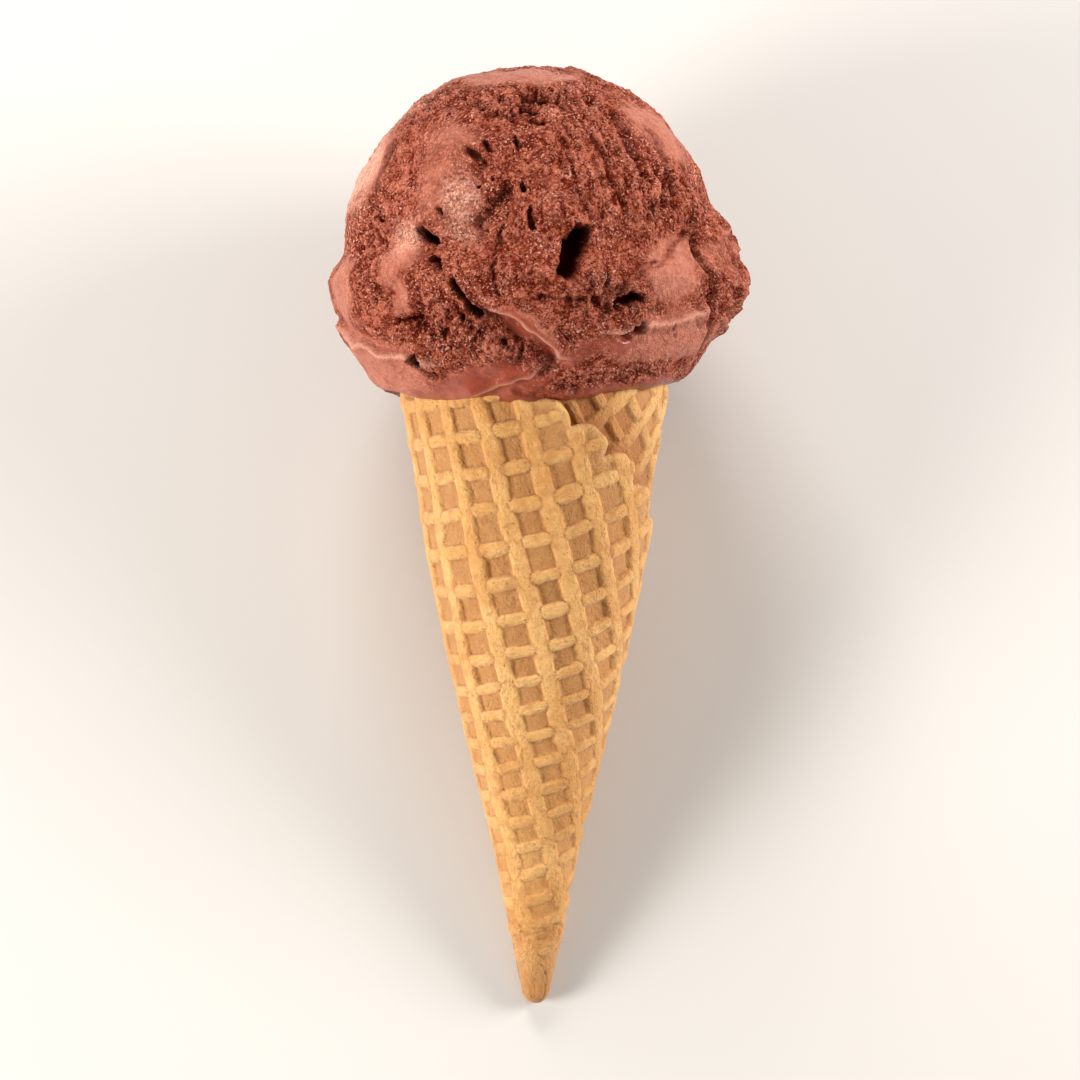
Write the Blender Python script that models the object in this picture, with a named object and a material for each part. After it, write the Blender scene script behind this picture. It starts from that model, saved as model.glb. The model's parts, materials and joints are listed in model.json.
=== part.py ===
"""One scoop of chocolate ice cream on a rolled waffle cone, lying down with its best side up.

Both pieces are modelled in one local frame and then tilted together, so that the back of
the scoop and the tip of the cone touch the ground. In the local frame the axis of the cone
is Y, the tip is at the origin, +X is to the right and +Z faces whoever looks down on it.
"""

import math

import bmesh
import bpy
import numpy as np
from mathutils import Matrix, Vector, noise
from mathutils.geometry import delaunay_2d_cdt

MM = 0.001
GAP = 0.3 * MM

# The cone: a flat wafer sheet rolled round, whose straight sides meet below the blunt tip.
HALF_ANGLE = math.radians(11.6)
APEX_DEPTH = 10.1 * MM
RIM_HEIGHT = 115.0 * MM
TIP_ROUNDING = 3.3 * MM
BULGE = 1.3 * MM
BULGE_FROM = 28 * MM
BULGE_TO = 116 * MM
WALL = 3.0 * MM
HOLLOW_FLOOR = 7 * MM

# The sheet is a round disc that was rolled with its edge at the tip. One turn of the roll
# takes this angle of it, and its free edge winds up the outside of the cone.
TURN = 2 * math.pi * math.sin(HALF_ANGLE)
RIM_SLANT = (RIM_HEIGHT + APEX_DEPTH) / math.cos(HALF_ANGLE)
LOW_SLANT = (TIP_ROUNDING + APEX_DEPTH) / math.cos(HALF_ANGLE)
SHEET_DIAMETER = 138.2 * MM
SHEET_LEAN = math.radians(-27.5)
EDGE_STEP = 1.5 * MM
SCALLOP_LENGTH = 9.3 * MM
SCALLOP_HEIGHT = 3.2 * MM
SCALLOP_START = math.radians(3.4)
EDGE_THICK = 1.6 * MM
EDGE_THIN = 0.5 * MM
EDGE_THICK_ABOVE = 110 * MM
EDGE_THIN_BELOW = 94 * MM

# The baked pattern: square pits between two families of ribs, finer towards the tip.
LATTICE_LEAN = math.radians(14)
COLUMN_PITCH = 7.6 * MM
COLUMN_START = 27.1 * MM
ROW_START = 128.3 * MM
ROW_PITCH_TOP = 6.86 * MM
ROW_PITCH_LOW = 4.95 * MM
ROW_GRADE_FROM = 66 * MM
ROW_GRADE_TO = 92 * MM
PIT_WIDTH_SHARE = 0.55
PIT_HEIGHT_SHARE = 0.6
PIT_SLOPE = 0.5 * MM
PIT_DEPTH = 0.95 * MM
RIB_CROWN = 0.15 * MM
PIT_MARGIN = 0.45 * MM
RIB_MARGIN = 0.75 * MM
RELIEF_FADE_FROM = 14 * MM
RELIEF_FADE_TO = 36 * MM

# The scoop, measured from the middle of its ball.
BALL_X = -1.1 * MM
BALL_Y = 136.9 * MM
DOME_WIDE = 33.7 * MM
DOME_HIGH = 34.2 * MM
DOME_POWER = 2.12
SKIRT_RADIUS = 37.2 * MM
SKIRT_NARROWER_RIGHT = 0.9 * MM
LEDGE_RADIUS = 35.5 * MM
UNDERSIDE = 23.4 * MM
UNDERSIDE_SAG = 4.4 * MM
UNDERSIDE_SLANT = 0.9 * MM
PLUG_DEPTH = 20 * MM
GROUND_DISTANCE = 36.0 * MM
TIP_GROUND_DISTANCE = 2.6 * MM
TILT = math.asin((GROUND_DISTANCE - TIP_GROUND_DISTANCE) / (BALL_Y - TIP_ROUNDING))

# Slots and pits in the front of the scoop: two ends as seen from the front, half width, depth.
FRONT_PITS = (
    ((9.5, 2.0), (6.2, -4.9), 2.0, 4.5),
    ((-19.7, 3.2), (-17.3, 0.6), 1.7, 3.4),
    ((-17.2, -3.1), (-14.9, -5.8), 1.1, 1.6),
    ((-12.9, -6.7), (-8.5, -11.8), 1.4, 2.8),
    ((-19.7, -19.2), (-15.9, -21.6), 1.4, 2.8),
    ((15.9, -10.9), (19.0, -9.6), 1.4, 2.6),
    ((15.4, -15.6), (18.8, -14.1), 1.4, 2.2),
    ((-4.7, 9.2), (-8.7, 2.5), 2.1, 2.2),
    ((-24.1, 19.9), (-28.9, 8.4), 1.5, 2.4),
    ((15.4, 24.9), (19.0, 16.3), 1.9, 1.7),
    ((23.3, 20.1), (27.0, 10.6), 1.8, 1.8),
    ((-8.8, 26.5), (11.1, 26.6), 3.0, 2.2),
    ((-1.7, -24.7), (4.7, -27.0), 1.4, 2.4),
)

# Lips of smooth ice cream, as seen from the front: the ball tucks in behind each of them.
FRONT_LIPS = (
    ((-34.6, -11.5), (-31.6, -14.8), (-25.0, -17.8), (-20.0, -18.4), (-15.9, -20.2)),
    ((16.3, -14.2), (20.4, -13.0), (24.6, -12.0), (31.7, -9.5)),
    ((3.6, -18.9), (-1.2, -24.7), (-8.8, -26.0)),
    ((-7.8, -11.3), (-1.7, -15.3), (3.6, -18.9)),
)

# The same round the back, as turn from the front and height above the middle, in degrees.
BACK_PITS = (
    ((150, 35), (160, 24), 2.0, 2.4),
    ((-150, 10), (-143, -2), 1.5, 3.0),
    ((205, 48), (190, 58), 2.2, 1.8),
    ((130, 2), (124, -9), 1.6, 2.6),
    ((-118, 30), (-112, 40), 1.6, 2.2),
    ((-100, -8), (-107, -20), 1.4, 2.4),
    ((172, -33), (158, -36), 1.2, 2.4),
    ((84, 8), (88, -16), 1.5, 2.0),
)
BACK_LIPS = (
    ((-84, -19), (-105, -24), (-130, -33), (-158, -35), (-178, -28)),
    ((70, -17), (100, -22), (126, -30), (150, -30), (172, -36)),
)
LIP_TUCK = 1.5
LIP_SWELL = 0.9
LOBE_TURN = 84
LOBE_RISE = -5
LOBE_REACH = 17
LOBE_HEIGHT = 4.6
LOBE_CREVICE = ((62, 12), (61, -3), (66, -17), (76, -30))
CREVICE_DEPTH = 1.9

CANDIDATES = 14000
FINE_SPACING = 1.05
WIDE_SPACING = 1.95
UNDERSIDE_SPACING = 4.5
FINE_REACH = 2.0
TURNED_SIDES = 48
SWELL = 0.9
LUMPS = 0.6
GROUND_CALM = 0.16


def clear_scene():
    for item in list(bpy.data.objects):
        bpy.data.objects.remove(item, do_unlink=True)


def make_material(name, color, roughness):
    """A plain dielectric finish in the piece's own colour."""
    material = bpy.data.materials.new(name)
    material.use_nodes = True
    shader = material.node_tree.nodes["Principled BSDF"]
    shader.inputs["Base Color"].default_value = (*color, 1.0)
    shader.inputs["Roughness"].default_value = roughness
    shader.inputs["Metallic"].default_value = 0.0
    return material


def make_object(name, points, faces, material=None):
    """A mesh object with welded points and outward faces."""
    mesh = bpy.data.meshes.new(name)
    mesh.from_pydata([tuple(point) for point in points], [], faces)
    shape = bmesh.new()
    shape.from_mesh(mesh)
    bmesh.ops.remove_doubles(shape, verts=shape.verts, dist=0.001 * MM)
    bmesh.ops.recalc_face_normals(shape, faces=shape.faces)
    shape.to_mesh(mesh)
    shape.free()
    item = bpy.data.objects.new(name, mesh)
    bpy.context.scene.collection.objects.link(item)
    if material:
        mesh.materials.append(material)
    return item


def apply_boolean(item, tool, operation):
    """Cuts the tool from the item, or joins it on, and then removes the tool."""
    step = item.modifiers.new(operation, "BOOLEAN")
    step.operation = operation
    step.object = tool
    graph = bpy.context.evaluated_depsgraph_get()
    result = bpy.data.meshes.new_from_object(item.evaluated_get(graph))
    item.modifiers.remove(step)
    item.data = result
    bpy.data.objects.remove(tool, do_unlink=True)


def smooth(value, low, high):
    """0 below low, 1 above high, and an even S between them."""
    share = np.clip((np.asarray(value, float) - low) / (high - low), 0.0, 1.0)
    return share * share * (3.0 - 2.0 * share)


# The rolled sheet


def seam_angle(slant):
    """Where the sheet's free edge lies on the flat sheet, at this distance from its apex."""
    return SHEET_LEAN + np.arccos(np.clip(slant / SHEET_DIAMETER, 0.0, 1.0))


def cone_radius(height):
    """Radius of the outermost turn at a height above the tip, pits left out."""
    straight = (height + APEX_DEPTH) * math.tan(HALF_ANGLE)
    share = np.clip((height - BULGE_FROM) / (BULGE_TO - BULGE_FROM), 0.0, 1.0)
    return straight + BULGE * np.sin(math.pi * share)


def rolled(points, lift):
    """Rolls points of the flat sheet, each lifted off it, into the wound cone."""
    across = points[:, 0]
    along = points[:, 1]
    slant = np.hypot(across, along)
    angle = np.arctan2(across, along)
    height = slant * math.cos(HALF_ANGLE) - APEX_DEPTH
    wound = np.clip((seam_angle(slant) - angle) / TURN, 0.0, 1.0)
    thick = EDGE_THIN + (EDGE_THICK - EDGE_THIN) * smooth(slant, EDGE_THIN_BELOW, EDGE_THICK_ABOVE)
    thick = thick * smooth(slant, LOW_SLANT, RELIEF_FADE_TO)
    radius = cone_radius(height) - thick * wound + lift * relief_strength(slant)
    turn = angle / math.sin(HALF_ANGLE)
    return np.stack([radius * np.sin(turn), height, radius * np.cos(turn)], axis=1)


def relief_strength(slant):
    return smooth(slant, RELIEF_FADE_FROM, RELIEF_FADE_TO)


def sheet_edge():
    """The scalloped free edge of the flat sheet, from the rim down to the tip."""
    start = float(seam_angle(RIM_SLANT))
    end = float(seam_angle(LOW_SLANT))
    steps = round((end - start) * SHEET_DIAMETER / EDGE_STEP)
    angle = np.linspace(start, end, steps + 1)
    phase = ((angle - SCALLOP_START) * SHEET_DIAMETER / SCALLOP_LENGTH) % 1.0
    count = np.arange(steps + 1)
    fade = np.clip(count / 4, 0, 1) * np.clip((steps - count) / (steps * 0.4), 0, 1)
    bump = SCALLOP_HEIGHT * (np.sin(math.pi * phase) ** 0.7 - 0.5) * fade
    radius = SHEET_DIAMETER / 2 + bump
    around = SHEET_LEAN + 2 * (angle - SHEET_LEAN)
    middle = SHEET_DIAMETER / 2 * np.array([math.sin(SHEET_LEAN), math.cos(SHEET_LEAN)])
    return middle + radius[:, None] * np.stack([np.sin(around), np.cos(around)], axis=1)


def turned_back(points):
    """The same points of the flat sheet, one turn of the roll further in."""
    cosine = math.cos(TURN)
    sine = math.sin(TURN)
    across = points[:, 0] * cosine - points[:, 1] * sine
    along = points[:, 0] * sine + points[:, 1] * cosine
    return np.stack([across, along], axis=1)


def sheet_arc(slant, start, end, steps):
    """Points between two angles at one distance from the apex, ends left out."""
    angle = np.linspace(start, end, steps + 1)[1:-1]
    return slant * np.stack([np.sin(angle), np.cos(angle)], axis=1)


def lattice_point(column, row):
    """From the two rib directions to the flat sheet."""
    cosine = math.cos(LATTICE_LEAN)
    sine = math.sin(LATTICE_LEAN)
    return (column * cosine - row * sine, column * sine + row * cosine)


def row_lines():
    """Heights of the cross ribs on the flat sheet, closer together towards the tip."""
    lines = [ROW_START]
    while lines[-1] > 0:
        share = float(smooth(lines[-1], ROW_GRADE_FROM, ROW_GRADE_TO))
        lines.append(lines[-1] - ROW_PITCH_LOW - (ROW_PITCH_TOP - ROW_PITCH_LOW) * share)
    return lines


def inside(points, outline):
    """Which points lie inside the closed outline, by counting crossings."""
    found = np.zeros(len(points), bool)
    for start, end in zip(outline, np.roll(outline, -1, axis=0)):
        spans = (start[1] > points[:, 1]) != (end[1] > points[:, 1])
        rise = end[1] - start[1] if end[1] != start[1] else 1.0
        crossing = start[0] + (points[:, 1] - start[1]) * (end[0] - start[0]) / rise
        found ^= spans & (points[:, 0] < crossing)
    return found


def clearance(points, outline):
    """Distance from each point to the closed outline."""
    nearest = np.full(len(points), np.inf)
    for start, end in zip(outline, np.roll(outline, -1, axis=0)):
        side = end - start
        share = np.clip(((points - start) @ side) / (side @ side), 0.0, 1.0)
        nearest = np.minimum(nearest, np.linalg.norm(points - start - share[:, None] * side, axis=1))
    return nearest


def well_inside(points, outline, margin):
    return inside(points, outline) & (clearance(points, outline) > margin)


def rectangle(column, row, half_width, half_height):
    corners = ((-1, -1), (1, -1), (1, 1), (-1, 1))
    return [lattice_point(column + x * half_width, row + y * half_height) for x, y in corners]


def sheet_pattern(outline):
    """Flat points, their lifts and the edges that the pits need, inside the outline."""
    mouths = []
    floors = []
    ribs = []
    lines = row_lines()
    half_width = COLUMN_PITCH * PIT_WIDTH_SHARE / 2
    for above, below in zip(lines, lines[1:]):
        row = (above + below) / 2
        half_height = (above - below) * PIT_HEIGHT_SHARE / 2
        for k in range(-20, 8):
            column = COLUMN_START + k * COLUMN_PITCH
            middle = column + COLUMN_PITCH / 2
            mouths.append(rectangle(middle, row, half_width, half_height))
            floors.append(rectangle(middle, row, half_width - PIT_SLOPE, half_height - PIT_SLOPE))
            ribs.append((lattice_point(column, above), 0.0))
            ribs.append((lattice_point(column, row), RIB_CROWN))
            ribs.append((lattice_point(middle, above), RIB_CROWN))
    corners_in = well_inside(np.array(mouths).reshape(-1, 2), outline, PIT_MARGIN)
    whole = corners_in.reshape(-1, 4).all(axis=1)
    middles = np.array(mouths).mean(axis=1)
    blank = well_inside(middles, outline, RIB_MARGIN) & ~whole
    rib_in = well_inside(np.array([place for place, _ in ribs]), outline, RIB_MARGIN)

    points = [tuple(point) for point in outline]
    lifts = [0.0] * len(points)
    edges = [(k, (k + 1) % len(points)) for k in range(len(points))]
    for place, lift in [rib for rib, kept in zip(ribs, rib_in) if kept]:
        points.append(place)
        lifts.append(lift)
    for middle in middles[blank]:
        points.append(tuple(middle))
        lifts.append(0.0)
    for loops, depth in ((mouths, 0.1 * PIT_DEPTH), (floors, PIT_DEPTH)):
        for loop in [loop for loop, kept in zip(loops, whole) if kept]:
            first = len(points)
            points += loop
            lifts += [-depth] * len(loop)
            edges += [(first + k, first + (k + 1) % 4) for k in range(4)]
    return points, lifts, edges


def make_cone(material):
    """The wafer: the patterned outside, the step at its free edge, the rim and the hollow."""
    edge = sheet_edge()
    hidden = turned_back(edge)
    rim_from = float(seam_angle(RIM_SLANT)) - TURN
    low_from = float(seam_angle(LOW_SLANT)) - TURN
    low = sheet_arc(LOW_SLANT, low_from + TURN, low_from, 16)
    rim = sheet_arc(RIM_SLANT, rim_from, rim_from + TURN, 60)
    outline = np.concatenate([edge, low, hidden[::-1], rim])
    points, lifts, edges = sheet_pattern(outline)
    flat = [Vector(point) / MM for point in points]
    corners, _, triangles, origins, _, _ = delaunay_2d_cdt(flat, edges, [], 1, 1e-6)
    lift = np.array([lifts[origin[0]] if origin else 0.0 for origin in origins])
    solid = rolled(np.array([tuple(corner) for corner in corners]) * MM, lift)
    faces = [tuple(triangle) for triangle in triangles]
    at = {origin[0]: k for k, origin in enumerate(origins) if origin}

    # The step down from the free edge to the turn below it.
    last = len(edge) - 1
    hidden_at = [at[len(edge) + len(low) + last - k] for k in range(len(edge))]
    for k in range(last):
        faces.append((at[k], at[k + 1], hidden_at[k + 1], hidden_at[k]))

    # The rim and the hollow, as rings joined one to the next.
    rim_first = len(edge) + len(low) + len(hidden)
    ring = [hidden_at[0]] + [at[rim_first + k] for k in range(len(rim))] + [at[0]]
    places = [Vector(place) for place in solid]
    turns = [math.atan2(places[k].x, places[k].z) for k in ring]
    mouth_radius = float(cone_radius(RIM_HEIGHT)) - WALL
    faces.append((ring[-1], ring[0], len(places)))
    for share in (1.0, 0.5):
        radius = mouth_radius * share
        height = HOLLOW_FLOOR + (RIM_HEIGHT - HOLLOW_FLOOR) * share
        lower = [len(places) + k for k in range(len(ring))]
        places += [Vector((radius * math.sin(turn), height, radius * math.cos(turn))) for turn in turns]
        faces += [(ring[k], ring[k + 1], lower[k + 1], lower[k]) for k in range(len(ring) - 1)]
        ring = lower
    places.append(Vector((0.0, HOLLOW_FLOOR, 0.0)))
    faces += [(ring[k], ring[k + 1], len(places) - 1) for k in range(len(ring) - 1)]

    # The blunt tip.
    ring = [at[last]] + [at[len(edge) + k] for k in range(len(low))] + [hidden_at[last]]
    start_ring = [places[k].copy() for k in ring]
    for degrees in (30, 60):
        height = TIP_ROUNDING * (1 - math.sin(math.radians(degrees)))
        narrow = math.cos(math.radians(degrees))
        lower = [len(places) + k for k in range(len(ring))]
        places += [Vector((place.x * narrow, height, place.z * narrow)) for place in start_ring]
        faces += [(ring[k], ring[k + 1], lower[k + 1], lower[k]) for k in range(len(ring) - 1)]
        ring = lower
    places.append(Vector((0.0, 0.0, 0.0)))
    faces += [(ring[k], ring[k + 1], len(places) - 1) for k in range(len(ring) - 1)]
    return make_object("waffle_cone", places, faces, material)


# The scoop


def seen_direction(x, y):
    """Unit direction from the middle of the ball to a place seen from the front, in mm."""
    reach = LEDGE_RADIUS / MM
    depth = math.sqrt(max(reach * reach - x * x - y * y, 1.0))
    return np.array(Vector((x, y, depth)).normalized())


def turned_direction(turn, rise):
    """Unit direction from a turn to the right of the front and a rise, in degrees."""
    turn = math.radians(turn)
    rise = math.radians(rise)
    return np.array([math.cos(rise) * math.sin(turn), math.sin(rise), math.cos(rise) * math.cos(turn)])


def strip_distance(directions, path):
    """Distance in mm from each direction to a path on the ball, and which side it is on."""
    reach = LEDGE_RADIUS / MM
    nearest = np.full(len(directions), np.inf)
    above = np.zeros(len(directions))
    places = directions * reach
    for start, end in zip(path, path[1:]):
        start = start * reach
        side = end * reach - start
        share = np.clip(((places - start) @ side) / (side @ side), 0.0, 1.0)
        offset = places - start - share[:, None] * side
        distance = np.linalg.norm(offset, axis=1)
        closer = distance < nearest
        nearest = np.where(closer, distance, nearest)
        above = np.where(closer, np.sign(offset[:, 1]), above)
    return nearest, above


def scoop_features():
    """Every pit and lip of the scoop, as paths on the ball."""
    pits = []
    for start, end, width, depth in FRONT_PITS:
        pits.append(([seen_direction(*start), seen_direction(*end)], width, depth))
    for start, end, width, depth in BACK_PITS:
        pits.append(([turned_direction(*start), turned_direction(*end)], width, depth))
    pits.append(([turned_direction(*place) for place in LOBE_CREVICE], 1.3, CREVICE_DEPTH))
    lips = [[seen_direction(*place) for place in path] for path in FRONT_LIPS]
    lips += [[turned_direction(*place) for place in path] for path in BACK_LIPS]
    return pits, lips


def scoop_radius(directions):
    """Distance from the middle of the ball to its surface, in mm, along each direction."""
    x, y, z = directions.T
    level = np.hypot(x, z)
    dome = ((level / DOME_WIDE) ** DOME_POWER + (np.abs(y) / DOME_HIGH) ** DOME_POWER) ** (-1 / DOME_POWER)
    to_right = x / np.maximum(level, 0.01)
    skirt_radius = SKIRT_RADIUS - SKIRT_NARROWER_RIGHT * np.maximum(to_right, 0.0)
    skirt = smooth(-y, -0.03, 0.16)
    radius = (dome * (1 - skirt) + skirt_radius * skirt) / MM
    lobe_angle = np.degrees(np.arccos(np.clip(directions @ turned_direction(LOBE_TURN, LOBE_RISE), -1, 1)))
    radius += LOBE_HEIGHT * np.exp(-((lobe_angle / LOBE_REACH) ** 4))
    pits, lips = scoop_features()
    for path in lips:
        distance, above = strip_distance(directions, path)
        signed = distance * above
        radius -= LIP_TUCK * np.exp(-(((signed - 1.0) / 1.4) ** 2))
        radius += LIP_SWELL * np.exp(-(((signed + 1.3) / 1.8) ** 2))
    for path, width, depth in pits:
        distance, _ = strip_distance(directions, path)
        radius -= depth * np.exp(-((distance / width) ** 2))
    ground = np.array([0.0, -math.sin(TILT), -math.cos(TILT)])
    uneven = smooth(1 - directions @ ground, 0.0, GROUND_CALM)
    for k, direction in enumerate(directions):
        place = Vector(direction)
        swell = SWELL * noise.noise(place * 3.1)
        lumps = LUMPS * noise.noise(place * 8.3 + Vector((7.0, 1.0, 4.0)))
        radius[k] += uneven[k] * (swell + lumps)
    to_front = z / np.maximum(level, 0.01)
    floor = (UNDERSIDE + UNDERSIDE_SAG * np.abs(to_front) - UNDERSIDE_SLANT * to_right) / MM
    reach = floor / np.maximum(-y, 0.05)
    return np.minimum(radius, reach)


def scoop_directions():
    """Directions spread over the ball, close together where its surface has detail."""
    count = np.arange(CANDIDATES) + 0.5
    y = 1 - 2 * count / CANDIDATES
    turn = count * math.pi * (3 - math.sqrt(5))
    level = np.sqrt(1 - y * y)
    candidates = np.stack([level * np.cos(turn), y, level * np.sin(turn)], axis=1)
    pits, lips = scoop_features()
    nearest = np.full(CANDIDATES, np.inf)
    for path in [pit[0] for pit in pits] + lips:
        nearest = np.minimum(nearest, strip_distance(candidates, path)[0])
    detail = smooth(nearest, 1.5, 1.5 + FINE_REACH)
    spacing = FINE_SPACING + (WIDE_SPACING - FINE_SPACING) * detail
    spacing = np.where(candidates[:, 1] < -0.8, UNDERSIDE_SPACING, spacing)
    order = np.random.default_rng(5).permutation(CANDIDATES)
    apart = spacing / (LEDGE_RADIUS / MM)
    kept = []
    places = np.empty((CANDIDATES, 3))
    for k in order:
        chosen = places[: len(kept)]
        if not len(kept) or ((chosen - candidates[k]) ** 2).sum(axis=1).min() > apart[k] ** 2:
            places[len(kept)] = candidates[k]
            kept.append(k)
    return places[: len(kept)].copy()


def turned(name, profile):
    """A closed solid turned about the cone's axis from (radius, height) pairs, bottom first."""
    places = []
    faces = []
    for radius, height in profile:
        for k in range(TURNED_SIDES):
            turn = 2 * math.pi * k / TURNED_SIDES
            places.append((radius * math.sin(turn), height, radius * math.cos(turn)))
    for ring in range(len(profile) - 1):
        for k in range(TURNED_SIDES):
            first = ring * TURNED_SIDES + k
            second = ring * TURNED_SIDES + (k + 1) % TURNED_SIDES
            faces.append((first, second, second + TURNED_SIDES, first + TURNED_SIDES))
    faces.append(tuple(range(TURNED_SIDES)))
    faces.append(tuple(len(places) - TURNED_SIDES + k for k in range(TURNED_SIDES)))
    return make_object(name, places, faces)


def make_scoop(material):
    """The ball with its skirt, cut to sit over the rim, and the plug pressed into the mouth."""
    directions = scoop_directions()
    shape = bmesh.new()
    for direction in directions:
        shape.verts.new(direction)
    bmesh.ops.convex_hull(shape, input=shape.verts)
    shape.verts.index_update()
    faces = [[corner.index for corner in face.verts] for face in shape.faces]
    directions = np.array([tuple(corner.co) for corner in shape.verts])
    shape.free()
    places = directions * scoop_radius(directions)[:, None] * MM
    places += np.array([BALL_X, BALL_Y, 0.0])
    scoop = make_object("ice_cream", places, faces, material)

    below = RIM_HEIGHT - PLUG_DEPTH
    outside = []
    for height in (below, RIM_HEIGHT - 6 * MM, RIM_HEIGHT + GAP):
        outside.append((float(cone_radius(height)) + RIB_CROWN + GAP, height))
    apply_boolean(scoop, turned("wafer_clearance", outside), "DIFFERENCE")

    slope = (float(cone_radius(RIM_HEIGHT)) - WALL) / (RIM_HEIGHT - HOLLOW_FLOOR)
    plug = [(slope * (below - HOLLOW_FLOOR) * 0.8 - GAP, below)]
    for height in (below + 2 * MM, RIM_HEIGHT + 3 * MM):
        plug.append((slope * (min(height, RIM_HEIGHT) - HOLLOW_FLOOR) - GAP - 0.1 * MM, height))
    apply_boolean(scoop, turned("plug", plug), "UNION")
    return scoop


def lay_down(pieces):
    """Tilts the pieces about the tip, flattens what would go through the ground, and centres
    their box over the origin."""
    tilt = Matrix.Rotation(TILT, 4, "X")
    ball = tilt @ Vector((BALL_X, BALL_Y, 0.0))
    lift = GROUND_DISTANCE - ball.z
    corners = []
    for piece in pieces:
        piece.data.transform(Matrix.Translation((0.0, 0.0, lift)) @ tilt)
        for corner in piece.data.vertices:
            corner.co.z = max(corner.co.z, 0.0)
            corners.append(corner.co.copy())
    corners = np.array(corners)
    middle = (corners.min(axis=0) + corners.max(axis=0)) / 2
    for piece in pieces:
        piece.data.transform(Matrix.Translation((-middle[0], -middle[1], 0.0)))
        piece.data.shade_smooth()
        piece.data.set_sharp_from_angle(angle=math.radians(50))
    return Vector((ball.x - middle[0], ball.y - middle[1], 0.0))


def main():
    clear_scene()
    wafer = make_material("baked_wafer", (0.72, 0.43, 0.16), 0.6)
    chocolate = make_material("chocolate_ice_cream", (0.34, 0.11, 0.07), 0.42)
    cone = make_cone(wafer)
    scoop = make_scoop(chocolate)
    return lay_down([cone, scoop])


if __name__ == "__main__":
    main()
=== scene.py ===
"""The looks of the ice cream cone: a torn, half melted scoop on a baked, rolled wafer.

Both pieces are modelled in one local frame, in millimetres. Its Y is the cone's axis with the
blunt tip at the origin, +X is to the right and +Z faces the viewer. They are then laid down
with the same tilt as the solids that they stand for.
"""

import json
import math

import bmesh
import bpy
import numpy as np
from mathutils import Matrix, Vector, noise
from mathutils.geometry import delaunay_2d_cdt


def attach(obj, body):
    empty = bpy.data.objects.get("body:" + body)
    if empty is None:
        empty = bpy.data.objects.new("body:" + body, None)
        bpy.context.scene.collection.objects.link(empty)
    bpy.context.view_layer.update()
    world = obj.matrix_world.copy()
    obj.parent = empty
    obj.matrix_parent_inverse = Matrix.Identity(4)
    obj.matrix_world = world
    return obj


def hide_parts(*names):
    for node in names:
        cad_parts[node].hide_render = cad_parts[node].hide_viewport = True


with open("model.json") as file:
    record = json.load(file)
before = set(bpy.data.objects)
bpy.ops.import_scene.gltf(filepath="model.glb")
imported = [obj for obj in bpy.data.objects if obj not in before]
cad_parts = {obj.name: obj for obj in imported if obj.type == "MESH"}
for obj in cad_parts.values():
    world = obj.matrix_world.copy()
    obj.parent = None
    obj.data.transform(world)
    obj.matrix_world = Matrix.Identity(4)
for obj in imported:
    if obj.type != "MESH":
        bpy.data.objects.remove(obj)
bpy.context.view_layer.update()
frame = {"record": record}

MM = 0.001

# Vector noise starts from a random place until the seed is set, so this gives one shape each run.
NOISE_SEED = 5
noise.seed_set(NOISE_SEED)

# How far apart two patterns of noise lie for each step of their seeds.
SEED_STEPS = (7.3, 3.1, -5.9)

# How the cone lies: the ball's middle over the resting spot, and the axis tipped down to the tip.
REST = frame["record"]["mounts"][0]["pos_m"]
BALL_X = -1.1
BALL_Y = 136.9
BALL_LIFT = 36.0
TIP_LIFT = 2.6
TIP_ROUNDING = 3.3
TILT = math.asin((BALL_LIFT - TIP_LIFT) / (BALL_Y - TIP_ROUNDING))

# The wafer sheet and the cone that it is rolled into.
HALF_ANGLE = math.radians(11.6)
APEX_DEPTH = 10.1
RIM_HEIGHT = 115.0
BULGE = 1.3
BULGE_FROM = 28
BULGE_TO = 116
WALL = 3.0
HOLLOW_FLOOR = 7
TURN = 2 * math.pi * math.sin(HALF_ANGLE)
RIM_SLANT = (RIM_HEIGHT + APEX_DEPTH) / math.cos(HALF_ANGLE)
LOW_SLANT = (TIP_ROUNDING + APEX_DEPTH) / math.cos(HALF_ANGLE)
SHEET_DIAMETER = 138.2
SHEET_LEAN = math.radians(-27.5)
SCALLOP_LENGTH = 9.3
SCALLOP_HEIGHT = 3.2
SCALLOP_START = math.radians(3.4)
EDGE_THICK = 1.6
EDGE_THIN = 0.5
EDGE_THICK_ABOVE = 110
EDGE_THIN_BELOW = 94
EDGE_STEP = 0.45
EDGE_ROUND = 1.0
EDGE_UNDERCUT = 0.9

# The baked lattice.
LATTICE_LEAN = math.radians(14)
COLUMN_PITCH = 7.6
COLUMN_START = 27.1
ROW_START = 128.3
ROW_PITCH_TOP = 6.86
ROW_PITCH_LOW = 4.95
ROW_GRADE_FROM = 66
ROW_GRADE_TO = 92
RIB_SHARE = 0.245
PILLOW_SHARE = 0.225
PILLOW_SHORT = 0.3
RIB_POWER = 2.8
PIT_DEPTH = 0.95
RIB_CROWN = 0.25
TIP_CRACKS = (10.4, 14.2)
TIP_SPLIT = np.array([(0.4, 20.4), (1.0, 18.0), (2.2, 15.6), (1.7, 12.6)])
STEP_FADE_TO = 46
RELIEF_FADE_FROM = 12
RELIEF_FADE_TO = 28
RIM_SINK = 0.5

# The unevenness of the baked surface: how far the ribs wander and how high its lumps stand.
WANDER_WIDE = 0.6
WANDER_FINE = 0.16
LUMP_LIFT = 0.12
CRUMB_LIFT = 0.08
TIP_LUMP_LIFT = 0.34
TIP_CRUMB_LIFT = 0.14
WEAVE_DEPTH = 0.12
LIP_LIFT = 0.18
CRUMBLY_HEIGHT = 13.0
CRUMBLY_BAND = 3.2
CRUMBLY_LIFT = 0.2
CRACK_WIDTH = 0.2
CRACK_DEPTH = 0.4

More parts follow.
